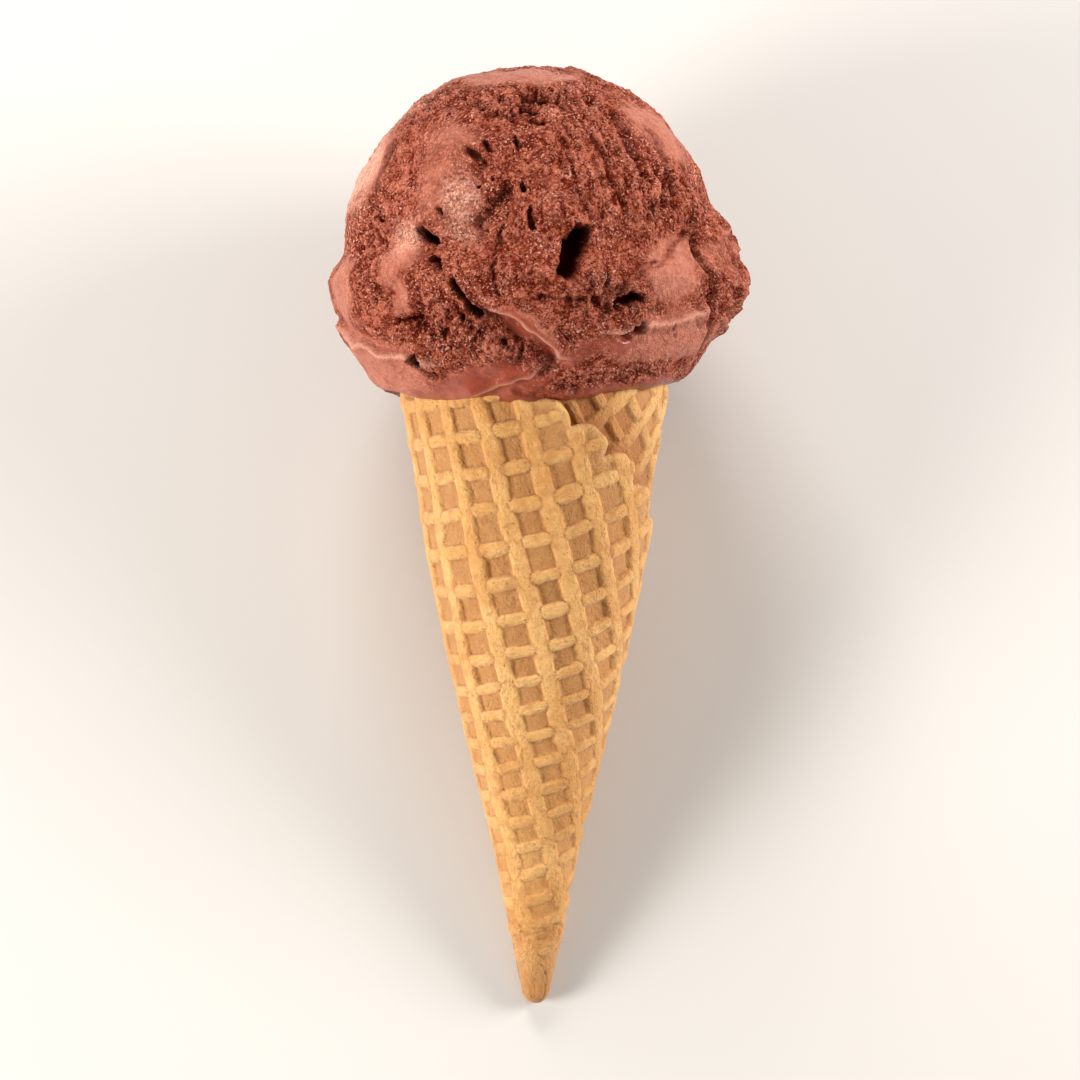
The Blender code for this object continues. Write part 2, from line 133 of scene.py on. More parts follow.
# Spacing of the wafer mesh: steps across a rib's two walls, rings along the free edge, and how
# far the grid stays clear of the edges.
COLUMN_WALL_STEP = 0.32
ROW_WALL_STEP = 0.3
EDGE_RINGS = (0.2, 0.45, 0.75)
RING_CLEAR = 0.14
GRID_CLEAR_OF_EDGE = 1.1
GRID_CLEAR_OF_HIDDEN = 0.25
GRID_CLEAR_OF_RIM = 0.25
GRID_PAST_SEAM = 4
LOW_STEPS = 44
RIM_STEPS = 300
TIP_ANGLES = (12, 24, 36, 48, 60, 72, 82)

# The scoop. The lobe's place and reach are in degrees.
DOME_WIDE = 33.7
DOME_HIGH = 34.2
DOME_POWER = 2.12
SKIRT_RADIUS = 37.2
SKIRT_NARROWER_RIGHT = 0.9
REACH = 35.5
UNDERSIDE = 23.4
UNDERSIDE_SAG = 4.4
UNDERSIDE_SLANT = 0.9
PLUG_DEPTH = 20
GAP = 0.3
LOBE_TURN = 84
LOBE_RISE = -5
LOBE_REACH = 17
LOBE_HEIGHT = 4.6
GROUND_CALM = 0.16
SCOOP_POINTS = 98000
FRONT_DENSITY = 2.4

# How high the lumps of its skin stand, in mm: anywhere, less where it is smooth, more where it is
# grainy and more where it is torn.
LUMPS = (0.16, 0.06, 0.0, 0.8)
CRUMBS = (0.08, 0.05, 0.16, 0.85)
GRAINS = (0.10, 0.05, 0.32, 0.40)
FLAKES = (0.10, 0.05, 0.25, 0.9)
STREAKS = 0.5
COMBED_STREAKS = 0.45

# How deep the skin is torn, in mm, and how far its outline swells and its edges wander.
TORN_DEPTH = 0.3
PORE_DEPTH = 0.7
HOLLOW_DEPTH = 1.1
PINHOLE_DEPTH = 0.9
LOBE_GOUGES = 1.5
SWELL_WIDE = 0.9
SWELL_FINE = 0.45
WARP_WIDE = 1.2
WARP_FINE = 0.6
WARP_TORN = 0.4

# Where holes and lips fade out towards the hem, as shares of the ball's radius below its middle.
HEM_FADE_FROM = 0.57
HEM_FADE_TO = 0.69

# Holes and grooves in the front: a path as seen from the front, half width and depth, in mm.
FRONT_PITS = (
    (((9.5, 2.0), (6.2, -4.9)), 1.7, 5.5),
    (((-19.7, 3.2), (-17.3, 0.6)), 1.2, 4.2),
    (((-17.0, -3.4), (-15.3, -5.4)), 0.65, 2.8),
    (((-12.6, -7.0), (-10.9, -9.0), (-8.6, -11.6)), 0.8, 3.6),
    (((-19.7, -19.2), (-15.9, -21.6)), 1.0, 3.6),
    (((15.9, -10.9), (19.0, -9.6)), 1.0, 3.4),
    (((15.4, -15.6), (18.8, -14.1)), 0.9, 3.0),
    (((-4.7, 9.2), (-8.7, 2.5)), 2.1, 1.8),
    (((-25.4, 18.8), (-27.2, 14.6), (-29.0, 9.4)), 1.3, 3.8),
    (((15.4, 24.9), (19.0, 16.3)), 1.4, 1.5),
    (((21.5, 22.1), (23.3, 20.1), (27.0, 10.6)), 1.1, 2.0),
    (((-10.0, 27.3), (-4.0, 27.6), (4.0, 27.4), (10.5, 26.8)), 2.3, 1.5),
    (((-1.2, 28.7), (2.2, 28.4)), 0.9, 2.6),
    (((-1.2, 25.6), (1.5, 24.3)), 0.8, 2.8),
    (((4.2, 27.0), (7.4, 26.2)), 1.0, 2.6),
    (((0.6, 22.8), (2.8, 21.9)), 0.7, 2.2),
    (((-4.1, 24.4), (-2.8, 23.2)), 0.6, 2.0),
    (((-8.6, 19.0), (-7.3, 17.4)), 0.6, 2.0),
    (((-2.8, 19.2), (-1.8, 17.8)), 0.55, 1.8),
    (((-1.4, 10.1), (-1.0, 9.4)), 0.6, 2.4),
    (((-1.7, -24.7), (4.7, -26.6)), 1.1, 2.0),
    (((-15.8, 6.6), (-15.9, 6.2)), 0.6, 2.2),
    (((0.4, 5.4), (0.9, 3.0)), 0.6, 2.0),
    (((21.4, 12.4), (20.3, 13.6)), 0.7, 2.0),
    (((-10.9, 17.5), (-8.7, 15.0)), 1.1, 1.6),
    (((-29.9, 9.0), (-30.2, 0.5), (-28.1, -4.9), (-23.0, -9.3), (-17.6, -13.6)), 1.2, 1.1),
    (((12.0, -13.1), (16.8, -7.3), (20.4, -3.6), (24.5, -2.2), (28.6, 2.2), (30.9, 8.0)), 0.9, 1.3),
    (((1.8, -9.8), (6.2, -10.1), (12.4, -9.5), (15.2, -8.2)), 0.6, 1.1),
    (((-17.3, 0.6), (-17.2, -3.1), (-14.9, -5.8), (-12.9, -6.7)), 0.5, 0.5),
    (((-4.3, 6.5), (-6.2, -2.0), (-5.2, -9.0)), 0.7, 0.8),
)

# Lips of smooth ice cream: path, the side that the ball tucks in on (1 is left of the way the
# path runs, seen from outside), how far it tucks in and how far the lip stands out.
FRONT_LIPS = (
    (
        ((-36.5, -9.0), (-34.2, -12.9), (-29.4, -16.1), (-24.6, -17.7), (-20.9, -18.2), (-13.0, -20.1)),
        1,
        1.5,
        0.6,
    ),
    (((10.6, -15.2), (16.8, -13.7), (23.1, -12.7), (31.7, -9.5)), 1, 1.5, 0.8),
    (((4.6, -18.9), (0.1, -21.8), (-5.3, -24.0), (-10.6, -25.6), (-16.1, -27.1)), 1, 2.6, 0.8),
    (((-8.8, -9.6), (-7.0, -10.6), (-3.4, -12.6), (1.8, -16.6), (8.0, -21.0)), -1, 2.6, 0.9),
)

# Round the back: turn from the front and rise above the middle, in degrees.
BACK_PITS = (
    (((150, 35), (160, 24)), 1.6, 3.4),
    (((-150, 10), (-143, -2)), 1.1, 3.6),
    (((205, 48), (190, 58)), 1.7, 2.6),
    (((130, 2), (124, -9)), 1.1, 3.4),
    (((-118, 30), (-112, 40)), 1.1, 2.8),
    (((-100, -8), (-107, -20)), 1.0, 3.0),
    (((172, -33), (158, -36)), 0.9, 2.8),
    (((84, 8), (88, -16)), 1.1, 2.4),
    (((-95, 30), (-110, 12), (-135, 4), (-160, -12)), 1.0, 1.2),
    (((100, 40), (118, 22), (140, 14), (165, 2), (185, -14)), 1.0, 1.2),
    (((62, 12), (61, -3), (66, -17), (76, -30)), 1.2, 2.2),
)
BACK_LIPS = (
    (((-84, -19), (-105, -24), (-130, -33), (-158, -35), (-178, -28)), -1, 1.3, 0.5),
    (((70, -17), (100, -22), (126, -30), (150, -30), (172, -36)), 1, 1.3, 0.5),
)
LIP_TAPER = 5.0

# Where the skin is smooth or torn, as seen from the front: middle, half sizes, lean, strength.
FRONT_PATCHES = (
    ((-16.0, 11.5), (7.0, 10.0), -15, 0.44),
    ((-19.5, 18.5), (6.0, 7.0), -35, 0.16),
    ((-11.5, 22.5), (5.5, 3.6), 0, 0.3),
    ((-29.5, 14.0), (3.6, 9.0), -25, 0.8),
    ((-33.0, -8.0), (3.0, 8.0), 0, 0.9),
    ((-23.5, -3.0), (4.5, 5.0), 0, 0.7),
    ((-22.0, -9.7), (2.0, 2.6), 0, 1.2),
    ((-25.0, -21.0), (10.0, 4.5), -28, 1.2),
    ((-7.0, -24.0), (9.0, 3.6), 12, 1.2),
    ((-1.0, -14.6), (7.0, 2.2), -34, 1.0),
    ((25.5, -3.5), (5.5, 7.0), -25, 1.1),
    ((23.0, -16.0), (9.5, 4.0), 15, 1.2),
    ((23.0, 22.0), (8.0, 3.2), -45, 0.9),
    ((-2.0, 32.0), (13.0, 1.8), 0, 0.9),
    ((34.0, 0.0), (1.6, 6.0), -8, 0.4),
    ((-29.6, 1.5), (2.8, 8.5), 5, -1.3),
    ((-14.0, -14.0), (11.0, 4.0), -15, -0.8),
    ((-6.0, -17.5), (6.0, 2.2), -22, -1.2),
    ((20.5, 10.5), (6.5, 10.5), 20, -0.6),
    ((11.5, -9.0), (8.0, 3.6), 0, -0.7),
    ((16.0, -22.0), (9.0, 2.2), 8, -0.5),
    ((4.0, -25.0), (7.0, 2.2), 0, -1.0),
    ((0.0, 27.0), (11.0, 2.8), 0, -1.0),
    ((-19.0, 27.5), (6.0, 3.0), 40, -0.6),
)

# Where it has melted.
WET_PATCHES = (
    ((-8.0, -23.5), (9.0, 3.4), 12, 1.0),
    ((-0.5, -15.0), (7.0, 1.8), -36, 0.9),
    ((12.0, -18.0), (8.0, 1.6), 14, 0.6),
    ((20.0, -24.5), (8.0, 1.8), 12, 0.9),
)

# Where coarse ice crystals or rime make it paler; at the left edge and the upper-left rim this paleness is
# also a painted highlight.
ICE_AND_HIGHLIGHT_PATCHES = (
    ((-12.6, 8.4), (3.0, 4.6), 15, 1.0),
    ((-22.8, 1.8), (2.8, 3.2), 0, 0.9),
    ((-12.5, 2.0), (3.0, 1.8), -25, 0.5),
    ((-31.5, 14.5), (2.2, 11.0), -25, 1.0),
    ((-21.0, 27.5), (8.0, 1.6), 40, 0.5),
)

# Colours of the ice cream as linear red, green and blue. A pair is the two ends of a blend.
# Grainy and torn skin blend from their low to their high places by the same grain that the bump follows:
# the dark ends are mostly painted shade and the pale ends mostly painted highlight.
GRAINY_SKIN_SHADE_TO_HIGHLIGHT = (0.14, 0.014, 0.004), (0.53, 0.130, 0.065)
TORN_SKIN_SHADE_TO_HIGHLIGHT = (0.11, 0.009, 0.002), (0.58, 0.150, 0.080)
SMOOTH_SKIN = (0.37, 0.096, 0.051), (0.50, 0.168, 0.104)
# Painted shade in the low places of the smooth skin's grain.
SMOOTH_SKIN_LOW_SHADE = (0.22, 0.036, 0.015)
WET_SKIN = (0.31, 0.050, 0.023), (0.20, 0.027, 0.011)
# Pale ice dots, partly painted glints.
ICE_DOTS_AND_GLINTS = (0.80, 0.43, 0.33)
# Painted shade between the grains.
GRAIN_GAP_SHADE = (0.09, 0.008, 0.002)
# Pale frost, and a painted highlight where its patches lie on the lit left edge and upper-left rim.
RIME_AND_HIGHLIGHT_VEIL = (0.74, 0.34, 0.22)
RIME_AND_HIGHLIGHT_CRYSTALS = (0.84, 0.48, 0.37)
# Painted highlight along the thin edges of the lips.
PAINTED_LIP_HIGHLIGHT = (0.68, 0.33, 0.24)
# Painted shade inside holes and other low places.
PAINTED_HOLE_SHADE = (0.05, 0.004, 0.001)

# Colours of the wafer.
RIB_TOPS = (0.76, 0.420, 0.132), (0.64, 0.298, 0.066)
RIB_SPOTS = (0.48, 0.195, 0.040)
PIT_FLOORS = (0.58, 0.285, 0.080), (0.69, 0.375, 0.122)
# Grain and wrinkle colours: partly their own darker and paler tone, partly painted shade in their lows and
# painted highlight on their rises, as they follow the bump's noise.
GRAIN_DARK_TONE_AND_SHADE = (0.46, 0.17, 0.035)
GRAIN_PALE_TONE_AND_HIGHLIGHT = (0.86, 0.58, 0.30)
WRINKLE_DARK_TONE_AND_SHADE = (0.44, 0.160, 0.030)
WRINKLE_PALE_TONE_AND_HIGHLIGHT = (0.84, 0.53, 0.24)
# Browning, plus painted shade in the creases, at the foot of the pit walls and under the free edge.
TOASTED_AND_SHADED = (0.36, 0.118, 0.015)
PALE_LIP = (0.84, 0.49, 0.19)
DARK_MARKS = (0.38, 0.13, 0.024)

# The floor and the light: each lamp's name, place in metres, side, power and colour.
FLOOR_COLOR = (0.62, 0.60, 0.57)
FLOOR_HALF_SIDE = 3.0
LAMPS = (
    ("key", (-0.83, -0.28, 0.37), 0.36, 12.6, (1.0, 0.97, 0.93)),
    ("rim", (-0.2, 0.8, 0.5), 0.4, 7.5, (1.0, 0.97, 0.95)),
    ("fill", (0.88, 0.16, 0.42), 0.5, 12.5, (1.0, 0.97, 0.94)),
)
LAMP_AIM = (0, 0.02, 0.03)
SKY_COLOR = (1.0, 0.96, 0.93)
SKY_STRENGTH = 0.25

# The view: the camera's distance, the photo's side in pixels, one pixel in metres, how many
# pixels the photo's middle lies right of the ball's middle and below it, and the sensor in mm.
VIEW_DISTANCE = 0.8
PHOTO_SIDE = 1080
PIXEL = 0.000183
FRAME_RIGHT = 10
FRAME_DOWN = 285
SENSOR = 36.0


def smooth(value, low, high):
    """0 below low, 1 above high, and an even S between them."""
    share = np.clip((np.asarray(value, float) - low) / (high - low), 0.0, 1.0)
    return share * share * (3.0 - 2.0 * share)


def bell(value, width):
    """1 at 0, falling off evenly on both sides."""
    return np.exp(-((value / width) ** 2))


def sampled(function, places, size, seed, *settings):
    """What a noise function gives at each place, for lumps of this size in mm."""
    shift = Vector([seed * step for step in SEED_STEPS])
    scale = 1.0 / size
    return np.array([function(Vector(place) * scale + shift, *settings) for place in places.tolist()])


def noise_at(places, size, seed):
    """Smooth noise from about -1 to 1."""
    return sampled(noise.noise, places, size, seed)


def fractal_at(places, size, seed, octaves=3):
    """The same with finer lumps added."""
    return sampled(noise.fractal, places, size, seed, 0.9, 2.1, octaves)


def crumbs_at(places, size, seed):
    """Round lumps from 0 to about 1 with sharp creases between them."""
    return sampled(noise.turbulence, places, size, seed, 2, True)


def shift_at(places, size, seed):
    """A smooth shift for each place, up to about 1 along each axis."""
    return sampled(noise.noise_vector, places, size, seed)


def turned(x, y, angle):
    """Coordinates of flat points along axes that are turned to the left by this angle."""
    cosine = math.cos(angle)
    sine = math.sin(angle)
    return x * cosine + y * sine, y * cosine - x * sine


def add_object(name, data):
    """Adds an object with this data to the scene."""
    made = bpy.data.objects.new(name, data)
    bpy.context.scene.collection.objects.link(made)
    return made


def laid_down(places):
    """From the local frame, in millimetres, to where the cone lies on the floor, in metres."""
    x = places[:, 0] - BALL_X
    y = places[:, 1] - BALL_Y
    z = places[:, 2]
    level = y * math.cos(TILT) - z * math.sin(TILT)
    height = y * math.sin(TILT) + z * math.cos(TILT) + BALL_LIFT
    return np.stack([x * MM + REST[0], level * MM + REST[1], np.maximum(height, 0.0) * MM], axis=1)


def make_piece(name, places, triangles, values, material, node):
    """A smooth shaded mesh that stands for a node, with its point values for the material."""
    mesh = bpy.data.meshes.new(name)
    mesh.from_pydata(laid_down(places).tolist(), [], np.asarray(triangles).tolist())
    for key, value in values.items():
        layer = mesh.attributes.new(key, "FLOAT", "POINT")
        layer.data.foreach_set("value", np.asarray(value, np.float32))
    shape = bmesh.new()
    shape.from_mesh(mesh)
    bmesh.ops.recalc_face_normals(shape, faces=shape.faces)
    shape.to_mesh(mesh)
    shape.free()
    mesh.shade_smooth()
    mesh.materials.append(material)
    piece = add_object(name, mesh)
    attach(piece, "root")
    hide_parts(node)
    return piece


# The wafer


def seam_angle(slant):
    """Where the sheet's free edge lies on the flat sheet, at this distance from its apex."""
    return SHEET_LEAN + np.arccos(np.clip(slant / SHEET_DIAMETER, 0.0, 1.0))


def cone_radius(height):
    """Radius of the outermost turn at a height above the tip, relief left out."""
    share = np.clip((height - BULGE_FROM) / (BULGE_TO - BULGE_FROM), 0.0, 1.0)
    return (height + APEX_DEPTH) * math.tan(HALF_ANGLE) + BULGE * np.sin(math.pi * share)


def step_height(slant):
    """How far the free edge stands above the turn below it."""
    thick = EDGE_THIN + (EDGE_THICK - EDGE_THIN) * smooth(slant, EDGE_THIN_BELOW, EDGE_THICK_ABOVE)
    return thick * smooth(slant, LOW_SLANT, STEP_FADE_TO)


def rolled(points, lift):
    """Rolls points of the flat sheet, each lifted off it, into the wound cone."""
    slant = np.hypot(points[:, 0], points[:, 1])
    angle = np.arctan2(points[:, 0], points[:, 1])
    height = slant * math.cos(HALF_ANGLE) - APEX_DEPTH
    wound = np.clip((seam_angle(slant) - angle) / TURN, 0.0, 1.0)
    radius = cone_radius(height) - step_height(slant) * wound + lift
    turn = angle / math.sin(HALF_ANGLE)
    return np.stack([radius * np.sin(turn), height, radius * np.cos(turn)], axis=1)


def sheet_edge():
    """The scalloped free edge of the flat sheet, from the rim down to the tip."""
    start = float(seam_angle(RIM_SLANT))
    end = float(seam_angle(LOW_SLANT))
    steps = round((end - start) * SHEET_DIAMETER / EDGE_STEP)
    angle = np.linspace(start, end, steps + 1)
    phase = ((angle - SCALLOP_START) * SHEET_DIAMETER / SCALLOP_LENGTH) % 1.0
    gone = (angle - start) * SHEET_DIAMETER
    left = (end - angle) * SHEET_DIAMETER
    fade = np.clip(gone / 6.0, 0, 1) * np.clip(left / 60.0, 0, 1)
    bump = SCALLOP_HEIGHT * (np.sin(math.pi * phase) ** 0.55 - 0.6) * fade
    ragged = np.stack([angle * SHEET_DIAMETER, angle * 0, angle * 0], axis=1)
    bump += 0.35 * noise_at(ragged, 2.2, 11) * np.clip(gone / 3.0, 0, 1) * np.clip(left / 6.0, 0, 1)
    radius = SHEET_DIAMETER / 2 + bump
    around = SHEET_LEAN + 2 * (angle - SHEET_LEAN)
    middle = SHEET_DIAMETER / 2 * np.array([math.sin(SHEET_LEAN), math.cos(SHEET_LEAN)])
    return middle + radius[:, None] * np.stack([np.sin(around), np.cos(around)], axis=1)


def moved_in(line, distance):
    """The free edge moved into the sheet, by less at its two ends."""
    along = np.gradient(line, axis=0)
    along /= np.linalg.norm(along, axis=1)[:, None]
    inwards = np.stack([along[:, 1], -along[:, 0]], axis=1)
    count = np.arange(len(line))
    fade = np.clip(count / 8, 0, 1) * np.clip((len(line) - 1 - count) / 8, 0, 1)
    return line + inwards * (distance * fade)[:, None]


def sheet_arc(slant, start, end, steps):
    """Points between two angles at one distance from the apex, ends left out."""
    angle = np.linspace(start, end, steps + 1)[1:-1]
    return slant * np.stack([np.sin(angle), np.cos(angle)], axis=1)


def row_lines():
    """Heights of the cross ribs on the flat sheet, closer together towards the tip."""
    lines = [ROW_START]
    while lines[-1] > -40:
        share = float(smooth(lines[-1], ROW_GRADE_FROM, ROW_GRADE_TO))
        lines.append(lines[-1] - ROW_PITCH_LOW - (ROW_PITCH_TOP - ROW_PITCH_LOW) * share)
    return np.array(lines[::-1])


def inside(points, outline):
    """Which points lie inside the closed outline, by counting crossings."""
    found = np.zeros(len(points), bool)
    for start, end in zip(outline, np.roll(outline, -1, axis=0)):
        spans = (start[1] > points[:, 1]) != (end[1] > points[:, 1])
        rise = end[1] - start[1] if end[1] != start[1] else 1.0
        crossing = start[0] + (points[:, 1] - start[1]) * (end[0] - start[0]) / rise
        found ^= spans & (points[:, 0] < crossing)
    return found


def line_distance(points, line, most):
    """Distance from each point to the line, for those nearer to it than most."""
    nearest = np.full(len(points), float(most))
    for start, end in zip(line, line[1:]):
        low = np.minimum(start, end) - most
        high = np.maximum(start, end) + most
        close = np.nonzero(((points > low) & (points < high)).all(axis=1))[0]
        side = end - start
        offset = points[close] - start
        share = np.clip(offset @ side / (side @ side), 0.0, 1.0)
        distance = np.linalg.norm(offset - share[:, None] * side, axis=1)
        nearest[close] = np.minimum(nearest[close], distance)
    return nearest


def rib_samples(pitch, half_rib, wall_step):
    """Offsets within one pitch, closest together at the two walls of a rib."""
    wall = half_rib + np.arange(-2, 3) * wall_step
    crest = np.linspace(0, wall[0], 4)[:-1]
    floor = np.linspace(wall[-1], pitch / 2, 4)[1:]
    half = np.concatenate([crest, wall, floor])
    return np.concatenate([-half[:0:-1], half])[1:]


def sheet_grid():
    """Points over the whole flat sheet, in rows and columns that follow the lattice."""
    across_rib = rib_samples(COLUMN_PITCH, COLUMN_PITCH * RIB_SHARE, COLUMN_WALL_STEP)
    columns = [COLUMN_START + k * COLUMN_PITCH + across_rib for k in range(-22, 12)]
    lines = row_lines()
    rows = []
    for below, above in zip(lines, lines[1:]):
        pitch = above - below
        samples = rib_samples(pitch, pitch * PILLOW_SHARE, ROW_WALL_STEP)
        rows.append(below + samples[samples > 0])
        rows.append(above + samples[samples <= 0][1:])
    column, row = np.meshgrid(np.unique(np.concatenate(columns)), np.unique(np.concatenate(rows)))
    return np.stack(turned(column.ravel(), row.ravel(), -LATTICE_LEAN), axis=1)


def wafer_relief(points, edge, hidden):
    """Lift off the sheet in mm, and the values of each point that its material reads."""
    flat = np.concatenate([points, np.zeros((len(points), 1))], axis=1)
    slant = np.hypot(points[:, 0], points[:, 1])
    wobble = WANDER_WIDE * shift_at(flat, 9.0, 1) + WANDER_FINE * shift_at(flat, 2.6, 2)
    column, row = turned(*(points + wobble[:, :2]).T, LATTICE_LEAN)
    lines = row_lines()
    index = np.clip(np.searchsorted(lines, row), 1, len(lines) - 1)
    pitch = lines[index] - lines[index - 1]
    upper = row - lines[index - 1] > pitch / 2
    along = row - np.where(upper, lines[index], lines[index - 1])
    across = (column - COLUMN_START + COLUMN_PITCH / 2) % COLUMN_PITCH - COLUMN_PITCH / 2
    cell = np.stack([np.floor((column - COLUMN_START) / COLUMN_PITCH), index, index * 0], axis=1)
    chance = np.array([noise.cell(Vector(place) + Vector((0.5, 0.5, 0.5))) for place in cell.tolist()])

    rough = noise_at(flat, 0.9, 3)
    uneven = noise_at(flat, 3.6, 4)
    lower = 1 - smooth(slant, 32, 82)
    frayed = 0.12 * uneven + 0.12 * rough
    half_rib = COLUMN_PITCH * (RIB_SHARE + 0.012 * (chance - 0.5)) + frayed
    upright = smooth(1 - (np.abs(across) / half_rib) ** RIB_POWER, -0.15, 0.9)
    half_pillow = pitch * (PILLOW_SHARE + 0.04 * lower + 0.02 * (chance - 0.5)) + frayed
    to_end = (COLUMN_PITCH / 2 - np.abs(across)) / (COLUMN_PITCH / 2 - PILLOW_SHORT)
    pillow = (np.abs(along) / half_pillow) ** RIB_POWER + to_end**4
    pillow = smooth(1 - pillow, -0.15, 0.9)
    ribs = np.maximum(upright, 1.05 * pillow)
    cross = smooth(pillow - upright, -0.2, 0.3)
    weave = bell(upright - 1.05 * pillow, 0.2) * smooth(np.minimum(upright, pillow), 0.3, 0.7)

    faint = smooth(noise_at(flat, 22.0, 5), -0.6, 0.0)
    fade = 1 - 0.55 * lower
    depth = PIT_DEPTH * (0.65 + 0.35 * chance) * (0.6 + 0.4 * faint) * fade
    lift = -depth * (1 - ribs) + RIB_CROWN * ribs
    crease = bell(upright - pillow, 0.3) * bell(ribs - 0.5, 0.3)
    lift += LUMP_LIFT * uneven + CRUMB_LIFT * rough - WEAVE_DEPTH * weave
    relief = smooth(slant, RELIEF_FADE_FROM, RELIEF_FADE_TO)
    lift = lift * relief + (1 - relief) * (TIP_LUMP_LIFT * uneven + TIP_CRUMB_LIFT * rough)
    height = slant * math.cos(HALF_ANGLE) - APEX_DEPTH + 2.0 * noise_at(flat, 5.0, 6)
    from_split = line_distance(points + wobble[:, :2], TIP_SPLIT, 1.5)
    crack = 0.5 * bell(from_split, CRACK_WIDTH) * smooth(rough, -0.9, -0.3)
    for level in TIP_CRACKS:
        ring_crack = 0.6 * bell(height - level, CRACK_WIDTH) * smooth(uneven, -0.05, 0.35)
        crack = np.maximum(crack, ring_crack)
    crumbly = bell(height - CRUMBLY_HEIGHT, CRUMBLY_BAND)
    lift += CRUMBLY_LIFT * crumbly * (rough + np.abs(uneven)) - CRACK_DEPTH * crack
    lift -= RIM_SINK * smooth(slant, RIM_SLANT - 4, RIM_SLANT - 2)

    from_edge = line_distance(points, edge, 4.0)
    from_hidden = line_distance(points, hidden, 12.0)
    thick = step_height(slant)
    at_seam = (1 - smooth(np.minimum(from_edge, from_hidden), 0, 3)) * (1 - smooth(thick, 0.2, 0.5))
    lift *= 1 - at_seam
    crack *= 1 - at_seam
    rounding = 1 - np.sqrt(1 - np.clip(1 - from_edge / EDGE_ROUND, 0, 1) ** 2)
    lift -= 0.45 * thick * rounding
    lip = bell(from_edge - 0.9, 0.8) * smooth(thick, 0.6, 1.2)
    lift += LIP_LIFT * lip
    pit = (1 - ribs) * relief * fade**1.5
    # Browning mixed with painted shade in the creases, at the foot of the pit walls and under the free
    # edge; browner towards the tip and in the crumbly band.
    covered = (bell(from_hidden, 2.2) + 0.45 * smooth(from_hidden, 12, 4)) * smooth(thick, 0.6, 1.2)
    toast_and_shade = np.clip(crease + 0.6 * weave + 1.1 * bell(ribs - 0.14, 0.16) + covered, 0, 1)
    toast_and_shade = toast_and_shade * relief * (0.35 + 0.65 * fade) + 0.75 * (1 - relief)
    toast_and_shade += 0.4 * crumbly * smooth(-rough, -0.1, 0.4)
    values = dict(pit=pit, toast_and_shade=toast_and_shade, lip=lip, crack=crack, cross=cross, column=column, row=row)
    return lift, values


def inner_points(edge, hidden, outline):
    """Points inside the outline of the flat sheet: the grid, and rings along the free edge."""
    grid = sheet_grid()
    slant = np.hypot(grid[:, 0], grid[:, 1])
    angle = np.arctan2(grid[:, 0], grid[:, 1])
    past = (angle - seam_angle(slant)) * slant
    fits = (slant > LOW_SLANT + GRID_CLEAR_OF_RIM) & (slant < RIM_SLANT - GRID_CLEAR_OF_RIM)
    fits &= (past < GRID_PAST_SEAM) & (past > -TURN * slant - GRID_PAST_SEAM)
    grid = grid[fits]
    grid = grid[inside(grid, outline)]
    grid = grid[line_distance(grid, edge, 1.2) > GRID_CLEAR_OF_EDGE]
    grid = grid[line_distance(grid, hidden, 0.5) > GRID_CLEAR_OF_HIDDEN]
    rings = [moved_in(edge, distance)[6:-6] for distance in EDGE_RINGS]
    rings = [ring[line_distance(ring, edge, 1.2) > RING_CLEAR] for ring in rings]
    rings = [ring[inside(ring, outline)] for ring in rings]
    return np.concatenate([grid] + rings)


